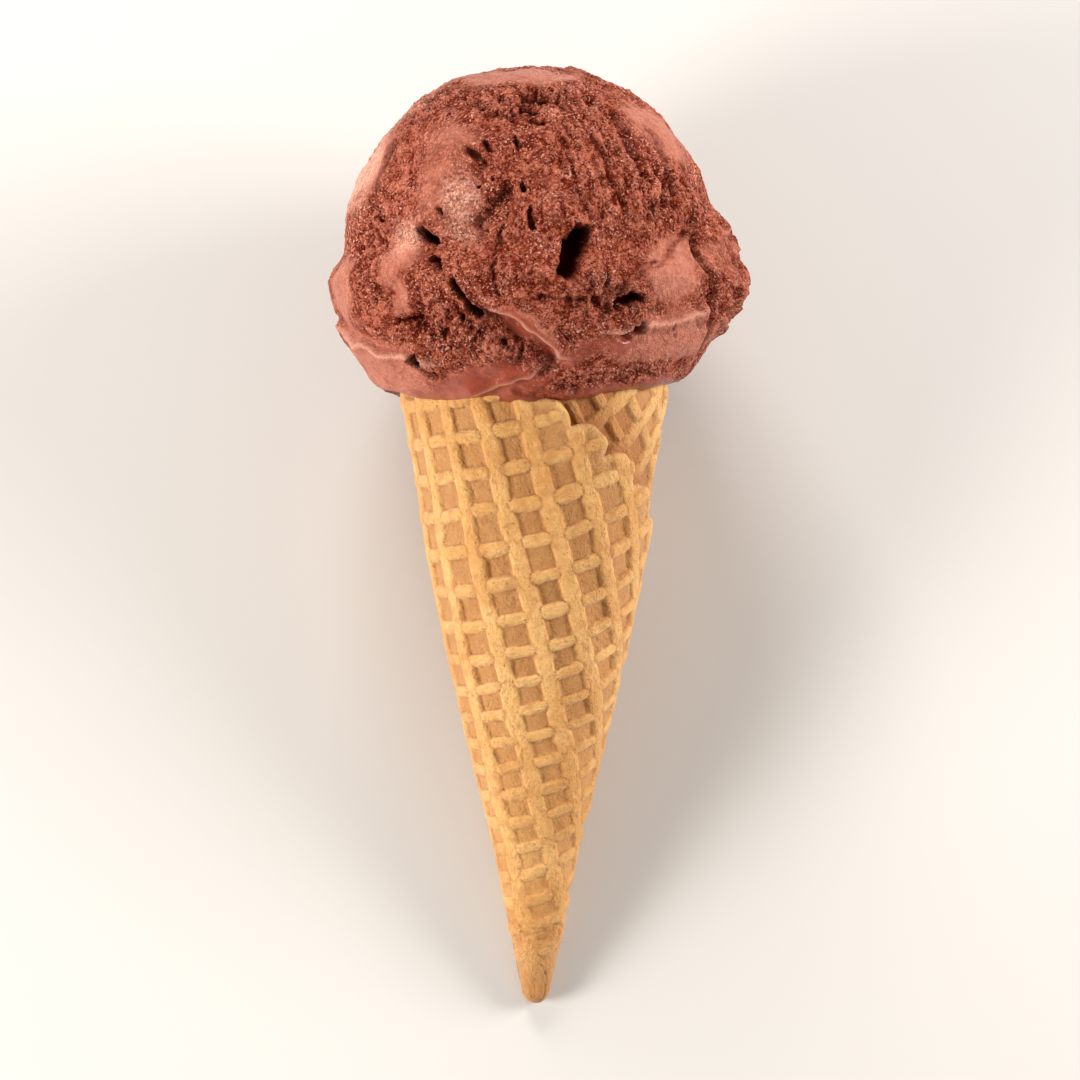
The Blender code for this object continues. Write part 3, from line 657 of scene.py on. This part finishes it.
def make_wafer(material):
    """The wafer: the baked outside, the step at its free edge, the rim, the hollow and the tip."""
    edge = sheet_edge()
    # The foot of the edge's undercut, one turn of the roll further in.
    hidden = np.stack(turned(*moved_in(edge, EDGE_UNDERCUT).T, -TURN), axis=1)
    rim_from = float(seam_angle(RIM_SLANT)) - TURN
    low_from = float(seam_angle(LOW_SLANT)) - TURN
    low = sheet_arc(LOW_SLANT, low_from + TURN, low_from, LOW_STEPS)
    rim = sheet_arc(RIM_SLANT, rim_from, rim_from + TURN, RIM_STEPS)
    outline = np.concatenate([edge, low, hidden[::-1], rim])
    points = np.concatenate([outline, inner_points(edge, hidden, outline)])
    loop = [(k, (k + 1) % len(outline)) for k in range(len(outline))]
    flat = [Vector(point) for point in points.tolist()]
    corners, _, triangles, origins, _, _ = delaunay_2d_cdt(flat, loop, [], 1, 1e-6)
    corners = np.array([tuple(corner) for corner in corners])
    lift, values = wafer_relief(corners, edge, hidden)
    solid = rolled(corners, lift)
    at = {}
    for k, origin in enumerate(origins):
        for source in origin:
            at[source] = k
    faces = [tuple(triangle) for triangle in triangles]
    places = [solid]
    total = len(solid)
    chosen = [np.arange(len(solid))]

    def add(ring_places, like):
        """Adds a ring of points that take their colours from other points."""
        nonlocal total
        places.append(np.asarray(ring_places))
        chosen.append(np.asarray(like))
        total += len(ring_places)
        return list(range(total - len(ring_places), total))

    def join(first, second):
        """Fills the strip between two rings of points with triangles."""
        for k in range(len(first) - 1):
            faces.append((first[k], first[k + 1], second[k + 1]))
            faces.append((first[k], second[k + 1], second[k]))

    def close(last, height, like):
        """Joins a ring to one point on the axis."""
        middle = add([(0.0, height, 0.0)], like[:1])[0]
        for k in range(len(last) - 1):
            faces.append((last[k], last[k + 1], middle))

    # The side of the free edge and its undercut, down to the turn below.
    edge_at = [at[k] for k in range(len(edge))]
    hidden_at = [at[len(edge) + len(low) + len(edge) - 1 - k] for k in range(len(edge))]
    side = moved_in(edge, 0.12)
    side_lift = lift[edge_at] - 0.32 * step_height(np.hypot(side[:, 0], side[:, 1]))
    side_places = rolled(side, side_lift)
    side_places[0] = solid[edge_at[0]]
    side_places[-1] = solid[edge_at[-1]]
    side_at = [edge_at[0]] + add(side_places[1:-1], edge_at[1:-1]) + [edge_at[-1]]
    join(edge_at, side_at)
    join(side_at, hidden_at)

    # The rim and the hollow, as rings joined one to the next.
    rim_first = len(edge) + len(low) + len(hidden)
    ring = [hidden_at[0]] + [at[rim_first + k] for k in range(len(rim))] + [edge_at[0]]
    turns = np.arctan2(solid[ring, 0], solid[ring, 2])
    mouth_radius = float(cone_radius(RIM_HEIGHT)) - WALL
    like = list(ring)
    for share in (1.0, 0.5):
        radius = mouth_radius * share
        height = np.full(len(turns), HOLLOW_FLOOR + (RIM_HEIGHT - HOLLOW_FLOOR) * share)
        inner = np.stack([radius * np.sin(turns), height, radius * np.cos(turns)], axis=1)
        lower = add(inner, like)
        join(ring, lower)
        if share == 1.0:
            faces.append((ring[-1], ring[0], lower[0]))
            faces.append((ring[-1], lower[0], lower[-1]))
        ring = lower
    close(ring, HOLLOW_FLOOR, like)

    # The blunt tip.
    ring = [edge_at[-1]] + [at[len(edge) + k] for k in range(len(low))] + [hidden_at[-1]]
    start_ring = solid[ring]
    like = list(ring)
    for degrees in TIP_ANGLES:
        height = TIP_ROUNDING * (1 - math.sin(math.radians(degrees)))
        narrow = math.cos(math.radians(degrees))
        lower = add(start_ring * [narrow, 0, narrow] + [0, height, 0], like)
        join(ring, lower)
        ring = lower
    close(ring, 0.0, like)

    # The strip along the free edge ends in points that both of its sides share.
    faces = [face for face in faces if len(set(face)) == 3]
    chosen = np.concatenate(chosen)
    values = {name: value[chosen] for name, value in values.items()}
    return make_piece("wafer", np.concatenate(places), faces, values, material, "waffle_cone")


# The scoop


def seen_direction(x, y):
    """Unit direction from the middle of the ball to a place seen from the front, in mm."""
    depth = math.sqrt(max(REACH * REACH - x * x - y * y, 1.0))
    return np.array(Vector((x, y, depth)).normalized())


def turned_direction(turn, rise):
    """Unit direction from a turn to the right of the front and a rise, in degrees."""
    turn = math.radians(turn)
    rise = math.radians(rise)
    return np.array([math.cos(rise) * math.sin(turn), math.sin(rise), math.cos(rise) * math.cos(turn)])


def strip_distance(places, path):
    """Distance from each place to a path on the ball, signed above 0 on the left of the way it
    runs, and how far along the path from its nearer end."""
    nearest = np.full(len(places), np.inf)
    signed = np.zeros(len(places))
    gone = np.zeros(len(places))
    start_length = 0.0
    for start, end in zip(path, path[1:]):
        start = start * REACH
        side = end * REACH - start
        length = np.linalg.norm(side)
        share = np.clip(((places - start) @ side) / length**2, 0.0, 1.0)
        offset = places - start - share[:, None] * side
        distance = np.linalg.norm(offset, axis=1)
        closer = distance < nearest
        nearest = np.where(closer, distance, nearest)
        left = offset @ (np.cross(start + side / 2, side) / length / REACH)
        signed = np.where(closer, left, signed)
        gone = np.where(closer, start_length + share * length, gone)
        start_length += length
    return nearest, signed, np.minimum(gone, start_length - gone)


def on_ball(front, back):
    """The holes or lips of both sides, their paths as directions from the middle of the ball."""
    found = [([seen_direction(*place) for place in path], *sizes) for path, *sizes in front]
    found += [([turned_direction(*place) for place in path], *sizes) for path, *sizes in back]
    return found


def scoop_directions():
    """Directions spread over the ball, closer together on the side that faces the viewer."""
    height = np.linspace(1, -1, 2001)
    weight = 1 + (FRONT_DENSITY - 1) * smooth(height, -0.45, 0.05)
    total = np.concatenate([[0], np.cumsum((weight[1:] + weight[:-1]) / 2)])
    count = np.arange(SCOOP_POINTS) + 0.5
    z = np.interp(count / SCOOP_POINTS, total / total[-1], height)
    turn = count * math.pi * (3 - math.sqrt(5))
    level = np.sqrt(1 - z * z)
    return np.stack([level * np.cos(turn), level * np.sin(turn), z], axis=1)


def triangles_between(directions):
    """Joins the directions into triangles: the nearest neighbours, found on a flat map."""
    flat = directions[:, :2] / (1 + directions[:, 2:])
    result = delaunay_2d_cdt([Vector(place) for place in flat.tolist()], [], [], 0, 1e-9)
    origins = [origin[0] for origin in result[3]]
    triangles = [tuple(origins[k] for k in triangle) for triangle in result[2]]
    sides = [(triangle[k], triangle[(k + 1) % 3]) for triangle in triangles for k in range(3)]
    known = set(sides)
    open_sides = [side for side in sides if (side[1], side[0]) not in known]
    pole = len(directions)
    triangles += [(second, first, pole) for first, second in open_sides]
    return np.concatenate([directions, [[0.0, 0.0, -1.0]]]), triangles


def lower_of(first, second, blend):
    """The smaller of the two, with the corner between them rounded."""
    mix = np.clip(0.5 + 0.5 * (second - first) / blend, 0.0, 1.0)
    return second * (1 - mix) + first * mix - blend * mix * (1 - mix)


def patch_strength(places, patches):
    """The summed strength of the patches on the side that faces the viewer."""
    total = np.zeros(len(places))
    front = smooth(places[:, 2], -4, 6)
    for (x, y), (wide, high), lean, strength in patches:
        across, along = turned(places[:, 0] - x, places[:, 1] - y, math.radians(lean))
        total += strength * np.exp(-(((across / wide) ** 2 + (along / high) ** 2) ** 1.5)) * front
    return total


def streaks_at(places):
    """Fine grooves that run down from the crown, as a scoop leaves them."""
    crown = Vector((-0.12, 0.97, 0.2)).normalized()
    middle = np.array(crown)
    side = np.array(crown.orthogonal().normalized())
    other = np.cross(middle, side)
    unit = places / np.linalg.norm(places, axis=1)[:, None]
    polar = np.arccos(np.clip(unit @ middle, -1, 1))
    turn = np.arctan2(unit @ other, unit @ side)
    coordinates = np.stack([13 * np.cos(turn), 13 * np.sin(turn), 3.2 * polar], axis=1)
    return noise_at(coordinates, 0.5, 21) + 0.6 * noise_at(coordinates, 0.24, 22)


def ball_radius(directions):
    """Radius of the plain ball with its skirt and lobe, and the share of the lobe in each place."""
    x, y, z = directions.T
    level = np.hypot(x, z)
    dome = ((level / DOME_WIDE) ** DOME_POWER + (np.abs(y) / DOME_HIGH) ** DOME_POWER) ** (-1 / DOME_POWER)
    to_right = np.maximum(x / np.maximum(level, 0.01), 0.0)
    skirt = smooth(-y, -0.03, 0.16)
    radius = dome * (1 - skirt) + (SKIRT_RADIUS - SKIRT_NARROWER_RIGHT * to_right) * skirt
    lobe_middle = turned_direction(LOBE_TURN, LOBE_RISE)
    lobe_angle = np.degrees(np.arccos(np.clip(directions @ lobe_middle, -1, 1)))
    lobe = np.exp(-((lobe_angle / LOBE_REACH) ** 4))
    return radius + LOBE_HEIGHT * lobe, lobe


def cut_features(places, warped, torn_warped):
    """Relief of the lips and holes, with the painted highlight along each lip's thin edge and the painted
    shade in deep holes.
    """
    relief = np.zeros(len(places))
    lip_edge_highlight = np.zeros(len(places))
    shown = 1 - 0.9 * smooth(-places[:, 1] / REACH, HEM_FADE_FROM, HEM_FADE_TO)
    for path, side, tuck, crest in on_ball(FRONT_LIPS, BACK_LIPS):
        _, signed, along = strip_distance(warped, path)
        distance, _, _ = strip_distance(places, path)
        signed = signed * side
        taper = smooth(along, 0, LIP_TAPER) * (distance < 9)
        relief -= taper * shown * tuck * smooth(signed, -0.25, 0.55) * bell(np.maximum(signed, 0), 2.8)
        relief += taper * crest * bell(signed + 0.6, 1.2)
        # Painted highlight along the thin edge of the lip.
        lip_edge_highlight = np.maximum(lip_edge_highlight, taper * bell(signed + 0.25, 0.32))
    hole_shade = np.zeros(len(places))
    for path, width, depth in on_ball(FRONT_PITS, BACK_PITS):
        distance, _, _ = strip_distance(torn_warped, path)
        cut = 1 - smooth(distance, width * 0.5, width * 1.15)
        relief -= shown * depth * cut
        relief += 0.1 * min(depth, 3.5) * bell(distance - 1.45 * width, 0.55)
        # Painted shade inside the deeper holes.
        hole_shade = np.maximum(hole_shade, cut * smooth(depth, 1.4, 3.8))
    return relief, lip_edge_highlight, hole_shade


def closed_below(directions, radius):
    """Cuts the ball off at its ragged underside and adds the plug pressed into the cone's mouth."""
    x, y, z = directions.T
    level = np.hypot(x, z)
    to_right = x / np.maximum(level, 0.01)
    to_front = z / np.maximum(level, 0.01)
    down = np.maximum(-y, 0.05)
    hem = 0.8 * noise_at(directions, 0.22, 41) + 0.35 * noise_at(directions, 0.08, 42)
    floor = UNDERSIDE + UNDERSIDE_SAG * np.abs(to_front) - UNDERSIDE_SLANT * to_right + hem
    radius = lower_of(radius, floor / down, 2.2)
    slope = (float(cone_radius(RIM_HEIGHT)) - WALL) / (RIM_HEIGHT - HOLLOW_FLOOR)
    plug_side = (slope * (BALL_Y - HOLLOW_FLOOR) - 2 * GAP) / (level + slope * down)
    plug_bottom = (BALL_Y - RIM_HEIGHT + PLUG_DEPTH) / down
    plug = np.where(y < -0.5, np.minimum(plug_side, plug_bottom), 0.0)
    return np.maximum(radius, plug)


def make_scoop(material):
    """The ball with its skirt, lobe, holes, lips and torn skin, and the plug below it."""
    directions, triangles = triangles_between(scoop_directions())
    radius, lobe = ball_radius(directions)
    places = directions * REACH
    swell = SWELL_WIDE * noise_at(directions, 1 / 3.1, 0) + SWELL_FINE * noise_at(places, 4.3, 31)
    warped = places + WARP_WIDE * shift_at(places, 6.5, 1) + WARP_FINE * shift_at(places, 2.4, 2)
    torn_warped = warped + WARP_TORN * shift_at(places, 1.1, 3)
    torn_warped *= (REACH / np.linalg.norm(torn_warped, axis=1))[:, None]
    relief, lip_edge_highlight, hole_shade = cut_features(places, warped, torn_warped)

    ground = np.array([0.0, -math.sin(TILT), -math.cos(TILT)])
    calm = smooth(1 - directions @ ground, 0.0, GROUND_CALM)
    quality = patch_strength(warped, FRONT_PATCHES)
    quality += (0.22 + 0.3 * smooth(-places[:, 2], -6, 4)) * fractal_at(warped, 8.0, 4)
    frost = smooth(quality, 0.15, 0.7)
    combed = smooth(places[:, 0], 0, 7) * smooth(places[:, 0], 24, 17) * smooth(places[:, 1], -1, 7)
    combed *= smooth(places[:, 1], 27, 23) * smooth(places[:, 2], 0, 8)
    torn = smooth(0.4 * lobe - quality, 0.15, 0.6) * (1 - 0.65 * combed)
    wetness = patch_strength(warped, WET_PATCHES) + 0.9 * smooth(-directions[:, 1], 0.62, 0.76)
    melt = smooth(wetness + 0.5 * fractal_at(warped, 5.0, 17), 0.15, 0.85)
    # The paler patches: real frost crystals, and on the lit left edge and upper-left rim also a painted
    # highlight.
    rime_and_highlight = np.clip(patch_strength(warped, ICE_AND_HIGHLIGHT_PATCHES), 0, 1)
    dry = 1 - 0.7 * melt
    grainy = (1 - frost) * (1 - torn)
    lumps = crumbs_at(torn_warped, 3.8, 5)
    crumbs = crumbs_at(torn_warped, 1.9, 6)
    grains = crumbs_at(places, 0.8, 7)
    flakes = crumbs_at(torn_warped, 3.0, 16)
    pores = smooth(fractal_at(torn_warped, 2.4, 8, 2), 0.42, 0.8)
    specks = smooth(noise_at(places, 1.1, 9), 0.38, 0.6)
    hollows = smooth(fractal_at(torn_warped, 4.0, 10, 2), 0.55, 0.8)
    pinholes = smooth(noise_at(torn_warped, 1.8, 13), 0.5, 0.64)
    pinholes *= smooth(noise_at(places, 8.0, 14), -0.05, 0.25)
    streaks = streaks_at(places) * smooth(places[:, 0], 0, 9) * smooth(places[:, 1], -2, 8) * (1 - frost)
    relief -= TORN_DEPTH * torn
    for (anywhere, less_smooth, more_grainy, more_torn), lump in (
        (LUMPS, lumps - 0.5),
        (CRUMBS, crumbs - 0.5),
        (GRAINS, grains - 0.5),
        (FLAKES, 0.4 - flakes),
    ):
        relief += dry * (anywhere - less_smooth * frost + more_grainy * grainy + more_torn * torn) * lump
    relief += 0.18 * frost * noise_at(places, 2.6, 15)
    relief -= dry * torn * PORE_DEPTH * pores
    relief -= dry * (0.14 - 0.08 * frost + 0.2 * torn) * specks
    relief -= dry * (0.15 + torn) * HOLLOW_DEPTH * hollows
    relief -= dry * (PINHOLE_DEPTH - 0.4 * frost) * pinholes
    relief += (STREAKS + COMBED_STREAKS * combed) * streaks
    relief -= lobe * LOBE_GOUGES * smooth(fractal_at(torn_warped, 3.0, 12, 2), 0.15, 0.5)
    # Painted shade in the low places of torn skin, in hollows and in pinholes, added to that of the holes.
    low = torn * (0.5 * pores + 0.25 * smooth(0.5 - crumbs, 0.1, 0.4) + 0.2 * smooth(0.5 - lumps, 0.1, 0.4))
    low += 0.7 * hollows * (0.15 + 0.85 * torn) + 0.8 * pinholes
    hole_shade = np.clip(hole_shade + dry * low, 0, 1)
    raised = 0.3 * (lumps - 0.4) + 0.5 * (crumbs - 0.4) + 0.6 * (grains - 0.4) + 0.4 * (0.4 - flakes)
    fine = np.clip(0.5 + raised + (0.2 + 0.3 * combed) * streaks, 0, 1)

    radius = closed_below(directions, radius + calm * (swell + relief))
    solid = directions * radius[:, None] + [BALL_X, BALL_Y, 0.0]
    values = dict(torn=torn, hole_shade=hole_shade, melt=melt, lip_edge_highlight=lip_edge_highlight, frost=frost, fine=fine, rime_and_highlight=rime_and_highlight)
    return make_piece("scoop", solid, triangles, values, material, "ice_cream")


# The materials


class Finish:
    """A material whose nodes are added one call at a time."""

    def __init__(self, name):
        self.material = bpy.data.materials.new(name)
        self.material.use_nodes = True
        self.tree = self.material.node_tree
        self.shader = self.tree.nodes["Principled BSDF"]
        self.place = self.node("ShaderNodeTexCoord").outputs["Object"]

    def put(self, sources, node):
        """Links a socket, or sets a plain value, at each named input of the node."""
        for key, source in sources.items():
            socket = node.inputs[key]
            if isinstance(source, bpy.types.NodeSocket):
                self.tree.links.new(source, socket)
            elif isinstance(source, tuple):
                socket.default_value = (*source, 1.0)[: len(socket.default_value)]
            else:
                socket.default_value = source

    def node(self, kind, sources=None, **settings):
        """Adds a node with these sources at its inputs, and these settings."""
        made = self.tree.nodes.new(kind)
        for key, value in settings.items():
            setattr(made, key, value)
        self.put(sources or {}, made)
        return made

    def value(self, name):
        """Reads a point value of the mesh."""
        return self.node("ShaderNodeAttribute", attribute_name=name).outputs["Fac"]

    def noise(self, size, detail=3.0, roughness=0.55):
        """Noise whose lumps have this size in millimetres."""
        look = {"Scale": 1.0 / (size * MM), "Detail": detail, "Roughness": roughness}
        return self.node("ShaderNodeTexNoise", {"Vector": self.place, **look}).outputs["Fac"]

    def sheet_noise(self, wide, high):
        """Noise on the flat sheet, with streaks this wide across and this high along it in mm."""
        place = self.node("ShaderNodeCombineXYZ", {"X": self.value("column"), "Y": self.value("row")})
        factors = {0: place.outputs["Vector"], 1: (1 / wide, 1 / high, 1)}
        scaled = self.node("ShaderNodeVectorMath", factors, operation="MULTIPLY").outputs["Vector"]
        look = {"Scale": 1.0, "Detail": 3.0, "Roughness": 0.6}
        return self.node("ShaderNodeTexNoise", {"Vector": scaled, **look}).outputs["Fac"]

    def cells(self, size):
        """Distance to the nearest of many scattered points."""
        sources = {"Vector": self.place, "Scale": 1.0 / (size * MM)}
        return self.node("ShaderNodeTexVoronoi", sources).outputs["Distance"]

    def cracks(self, size, bend):
        """Thin winding lines, 1 on a line and 0 away from it."""
        scale = 1.0 / (size * MM)
        sway = self.node("ShaderNodeTexNoise", {"Vector": self.place, "Scale": scale}).outputs["Color"]
        terms = {0: sway, 1: (bend * MM,) * 3, 2: self.place}
        moved = self.node("ShaderNodeVectorMath", terms, operation="MULTIPLY_ADD").outputs["Vector"]
        sources = {"Vector": moved, "Scale": scale}
        made = self.node("ShaderNodeTexVoronoi", sources, feature="DISTANCE_TO_EDGE")
        return self.spread(made.outputs["Distance"], 0.01, 0.04, 1.0, 0.0)

    def spread(self, source, low, high, to_low=0.0, to_high=1.0):
        """Stretches low..high to the new range, and holds it there."""
        sources = {"Value": source, "From Min": low, "From Max": high, "To Min": to_low, "To Max": to_high}
        return self.node("ShaderNodeMapRange", sources, interpolation_type="SMOOTHSTEP").outputs["Result"]

    def math(self, operation, first, second):
        """Joins two values by an operation, and holds all but a sum between 0 and 1."""
        settings = {"operation": operation, "use_clamp": operation != "ADD"}
        return self.node("ShaderNodeMath", {0: first, 1: second}, **settings).outputs[0]

    def times(self, first, second):
        """The product of two values."""
        return self.math("MULTIPLY", first, second)

    def mix(self, factor, first, second):
        """Blends two colours by a factor."""
        sources = {"Factor": factor, "A": first, "B": second}
        return self.node("ShaderNodeMix", sources, data_type="RGBA").outputs["Result"]

    def bump(self, height, distance, strength, normal=None):
        """Fine relief with this distance in mm, over other relief if there is any."""
        sources = {"Height": height, "Strength": strength, "Distance": distance * MM}
        if normal:
            sources["Normal"] = normal
        return self.node("ShaderNodeBump", sources).outputs["Normal"]


def make_ice_cream():
    """Chocolate ice cream: paler where it is smooth, dark and icy where it is torn, wet at the hem, with
    painted shade in its holes, between and under its grains and painted highlight on raised grains, lip
    edges and ice dots.
    """
    look = Finish("ice_cream_look")
    torn, hole_shade, melt, frost, rime_and_highlight = map(look.value, ("torn", "hole_shade", "melt", "frost", "rime_and_highlight"))
    # The level follows the grain of the bump, so blends by it paint shade into low grains and highlight
    # onto raised ones.
    grain = look.noise(0.38, 2.0, 0.6)
    level = look.times(look.value("fine"), 0.45)
    level = look.math("ADD", look.times(grain, 0.55), level)
    level = look.spread(level, 0.32, 0.70)
    mottle = look.spread(look.noise(0.9, 4.0, 0.7), 0.35, 0.65)
    smoothed = look.mix(mottle, *SMOOTH_SKIN)
    smoothed = look.mix(look.spread(level, 0.0, 0.6, 0.35, 0.0), smoothed, SMOOTH_SKIN_LOW_SHADE)
    wet = look.mix(look.spread(look.noise(2.0, 4.0, 0.6), 0.35, 0.65), *WET_SKIN)
    body = look.mix(frost, look.mix(level, *GRAINY_SKIN_SHADE_TO_HIGHLIGHT), smoothed)
    body = look.mix(torn, body, look.mix(level, *TORN_SKIN_SHADE_TO_HIGHLIGHT))

    # Dots of ice that are partly painted glints, and painted shade between the grains, few where the skin
    # is smooth.
    few = look.spread(frost, 0.0, 1.0, 1.0, 0.15)
    ice = look.times(look.spread(look.noise(0.45, 1.0), 0.57, 0.70, 0.0, 0.85), few)
    ice = look.times(ice, look.spread(look.noise(7.0, 2.0), 0.38, 0.62, 0.35, 1.0))
    grain_gap_shade = look.times(look.spread(look.noise(0.5, 1.0), 0.45, 0.32, 0.0, 0.9), few)
    crystals = look.times(look.spread(look.noise(0.6, 2.0, 0.7), 0.46, 0.60), rime_and_highlight)
    for share, color in (
        (ice, ICE_DOTS_AND_GLINTS),
        (grain_gap_shade, GRAIN_GAP_SHADE),
        (look.times(rime_and_highlight, 0.3), RIME_AND_HIGHLIGHT_VEIL),
        (look.times(crystals, 0.7), RIME_AND_HIGHLIGHT_CRYSTALS),
        (look.times(melt, 0.85), wet),
        (look.times(look.value("lip_edge_highlight"), 0.6), PAINTED_LIP_HIGHLIGHT),
        (look.spread(hole_shade, 0.1, 0.8), PAINTED_HOLE_SHADE),
    ):
        body = look.mix(share, body, color)

    gloss = look.spread(torn, 0.0, 1.0, 0.42, 0.46)
    gloss = look.math("SUBTRACT", gloss, look.times(melt, 0.24))
    gloss = look.math("SUBTRACT", gloss, look.times(ice, 0.14))
    shine = look.spread(level, 0.0, 1.0, 0.02, 0.45)
    shine = look.times(shine, look.spread(hole_shade, 0.0, 0.6, 1.0, 0.0))
    shine = look.times(shine, look.spread(grain_gap_shade, 0.0, 0.6, 1.0, 0.2))
    shine = look.math("MAXIMUM", shine, look.times(frost, 0.4))
    shine = look.math("MAXIMUM", shine, look.times(melt, 0.6))
    strength = look.spread(frost, 0.0, 1.0, 1.0, 0.6)
    strength = look.times(strength, look.spread(melt, 0.0, 1.0, 1.0, 0.25))
    coarse = look.bump(look.noise(0.9, 3.0, 0.65), 0.8, strength)
    sources = {
        "Base Color": body,
        "Roughness": gloss,
        "Specular IOR Level": shine,
        "Specular Tint": (1.0, 0.83, 0.75),
        "Subsurface Weight": 0.12,
        "Subsurface Radius": (1.0, 0.35, 0.2),
        "Subsurface Scale": 0.6 * MM,
        "Normal": look.bump(grain, 0.5, strength, coarse),
    }
    look.put(sources, look.shader)
    return look.material


def make_baked_wafer():
    """Baked wafer: golden ribs, browner pit floors, walls browned and painted with shade, wrinkles and
    grain with painted shade and highlight, pores and fine cracks.
    """
    look = Finish("wafer_look")
    grain = look.noise(0.55, 3.0, 0.65)
    wrinkle = look.mix(look.value("cross"), look.sheet_noise(0.7, 1.1), look.sheet_noise(1.5, 0.45))
    rib = look.mix(look.spread(look.noise(14.0), 0.35, 0.65), *RIB_TOPS)
    rib = look.mix(look.spread(look.noise(2.2, 6.0, 0.65), 0.46, 0.7, 0.0, 0.75), rib, RIB_SPOTS)
    floor = look.mix(look.spread(look.noise(2.6, 4.0), 0.4, 0.65), *PIT_FLOORS)
    body = look.mix(look.spread(look.value("pit"), 0.3, 0.95, 0.0, 0.85), rib, floor)
    # Grain and wrinkles, darker and paler with their bump: own tone plus painted shade and painted
    # highlight.
    for source, none, full, share, color in (
        (grain, 0.5, 0.3, 0.42, GRAIN_DARK_TONE_AND_SHADE),
        (grain, 0.55, 0.7, 0.3, GRAIN_PALE_TONE_AND_HIGHLIGHT),
        (wrinkle, 0.42, 0.30, 0.4, WRINKLE_DARK_TONE_AND_SHADE),
        (wrinkle, 0.56, 0.70, 0.3, WRINKLE_PALE_TONE_AND_HIGHLIGHT),
    ):
        body = look.mix(look.spread(source, none, full, 0.0, share), body, color)
    # Browning and painted shade in creases, at pit walls and under the free edge.
    body = look.mix(look.times(look.value("toast_and_shade"), 0.9), body, TOASTED_AND_SHADED)
    body = look.mix(look.times(look.value("lip"), 0.3), body, PALE_LIP)
    sparse = look.spread(look.noise(2.4, 2.0), 0.5, 0.62)
    pores = look.times(look.spread(look.cells(0.9), 0.12, 0.22, 1.0, 0.0), sparse)
    broken = look.spread(look.noise(2.6, 2.0), 0.55, 0.68, 0.0, 0.5)
    cracks = look.math("MAXIMUM", look.times(look.cracks(3.4, 2.4), broken), look.value("crack"))
    marks = look.math("MAXIMUM", pores, cracks)
    body = look.mix(look.times(marks, 0.45), body, DARK_MARKS)
    crumb = look.math("ADD", look.noise(0.9, 5.0, 0.75), grain)
    crumbly = look.bump(crumb, 0.36, 0.8)
    marked = look.bump(look.spread(marks, 0.0, 1.0, 1.0, 0.0), 0.3, 0.8, crumbly)
    sources = {
        "Base Color": body,
        "Roughness": look.spread(look.noise(4.0), 0.3, 0.7, 0.55, 0.72),
        "Specular IOR Level": 0.4,
        "Sheen Weight": 0.28,
        "Sheen Tint": (1.0, 0.93, 0.84),
        "Subsurface Weight": 0.06,
        "Subsurface Radius": (1.0, 0.6, 0.3),
        "Subsurface Scale": 0.6 * MM,
        "Normal": look.bump(wrinkle, 0.45, 0.8, marked),
    }
    look.put(sources, look.shader)
    return look.material


# The floor, the light and the camera


def make_floor():
    """A plain pale floor, wide enough to fill the view."""
    mesh = bpy.data.meshes.new("floor")
    half = FLOOR_HALF_SIDE
    corners = [(-half, -half, 0), (half, -half, 0), (half, half, 0), (-half, half, 0)]
    mesh.from_pydata(corners, [], [(0, 1, 2, 3)])
    look = Finish("pale_floor")
    look.put({"Base Color": FLOOR_COLOR, "Roughness": 0.7}, look.shader)
    mesh.materials.append(look.material)
    floor = add_object("floor", mesh)


def add_light(name, place, size, power, color):
    """A soft square lamp that faces the middle of the object."""
    data = bpy.data.lights.new(name, "AREA")
    data.shape = "SQUARE"
    data.size = size
    data.energy = power
    data.color = color
    lamp = add_object(name, data)
    lamp.location = place
    lamp.rotation_euler = (Vector(LAMP_AIM) - Vector(place)).to_track_quat("-Z", "Y").to_euler()


def make_camera():
    """Looks down on the cone square to its axis, from where the photograph was taken."""
    axis = Vector((0, math.cos(TILT), math.sin(TILT)))
    out = Vector((0, -math.sin(TILT), math.cos(TILT)))
    ball = Vector((REST[0], REST[1], BALL_LIFT * MM))
    target = ball + Vector((FRAME_RIGHT * PIXEL, 0, 0)) - axis * FRAME_DOWN * PIXEL
    data = bpy.data.cameras.new("camera")
    data.sensor_width = SENSOR
    data.lens = SENSOR * VIEW_DISTANCE / (PHOTO_SIDE * PIXEL)
    data.clip_start = 0.01
    data.clip_end = 20
    camera = add_object("camera", data)
    turn = Matrix((Vector((1, 0, 0)), axis, out)).transposed()
    camera.matrix_world = Matrix.Translation(target + out * VIEW_DISTANCE) @ turn.to_4x4()
    bpy.context.scene.camera = camera


def make_surroundings():
    """The floor, the lamps, a faint even light from all round, and the camera."""
    make_floor()
    for lamp in LAMPS:
        add_light(*lamp)
    world = bpy.data.worlds.new("studio")
    world.use_nodes = True
    background = world.node_tree.nodes["Background"]
    background.inputs["Color"].default_value = (*SKY_COLOR, 1.0)
    background.inputs["Strength"].default_value = SKY_STRENGTH
    bpy.context.scene.world = world
    bpy.context.scene.view_settings.view_transform = "Standard"
    make_camera()


make_wafer(make_baked_wafer())
make_scoop(make_ice_cream())
make_surroundings()
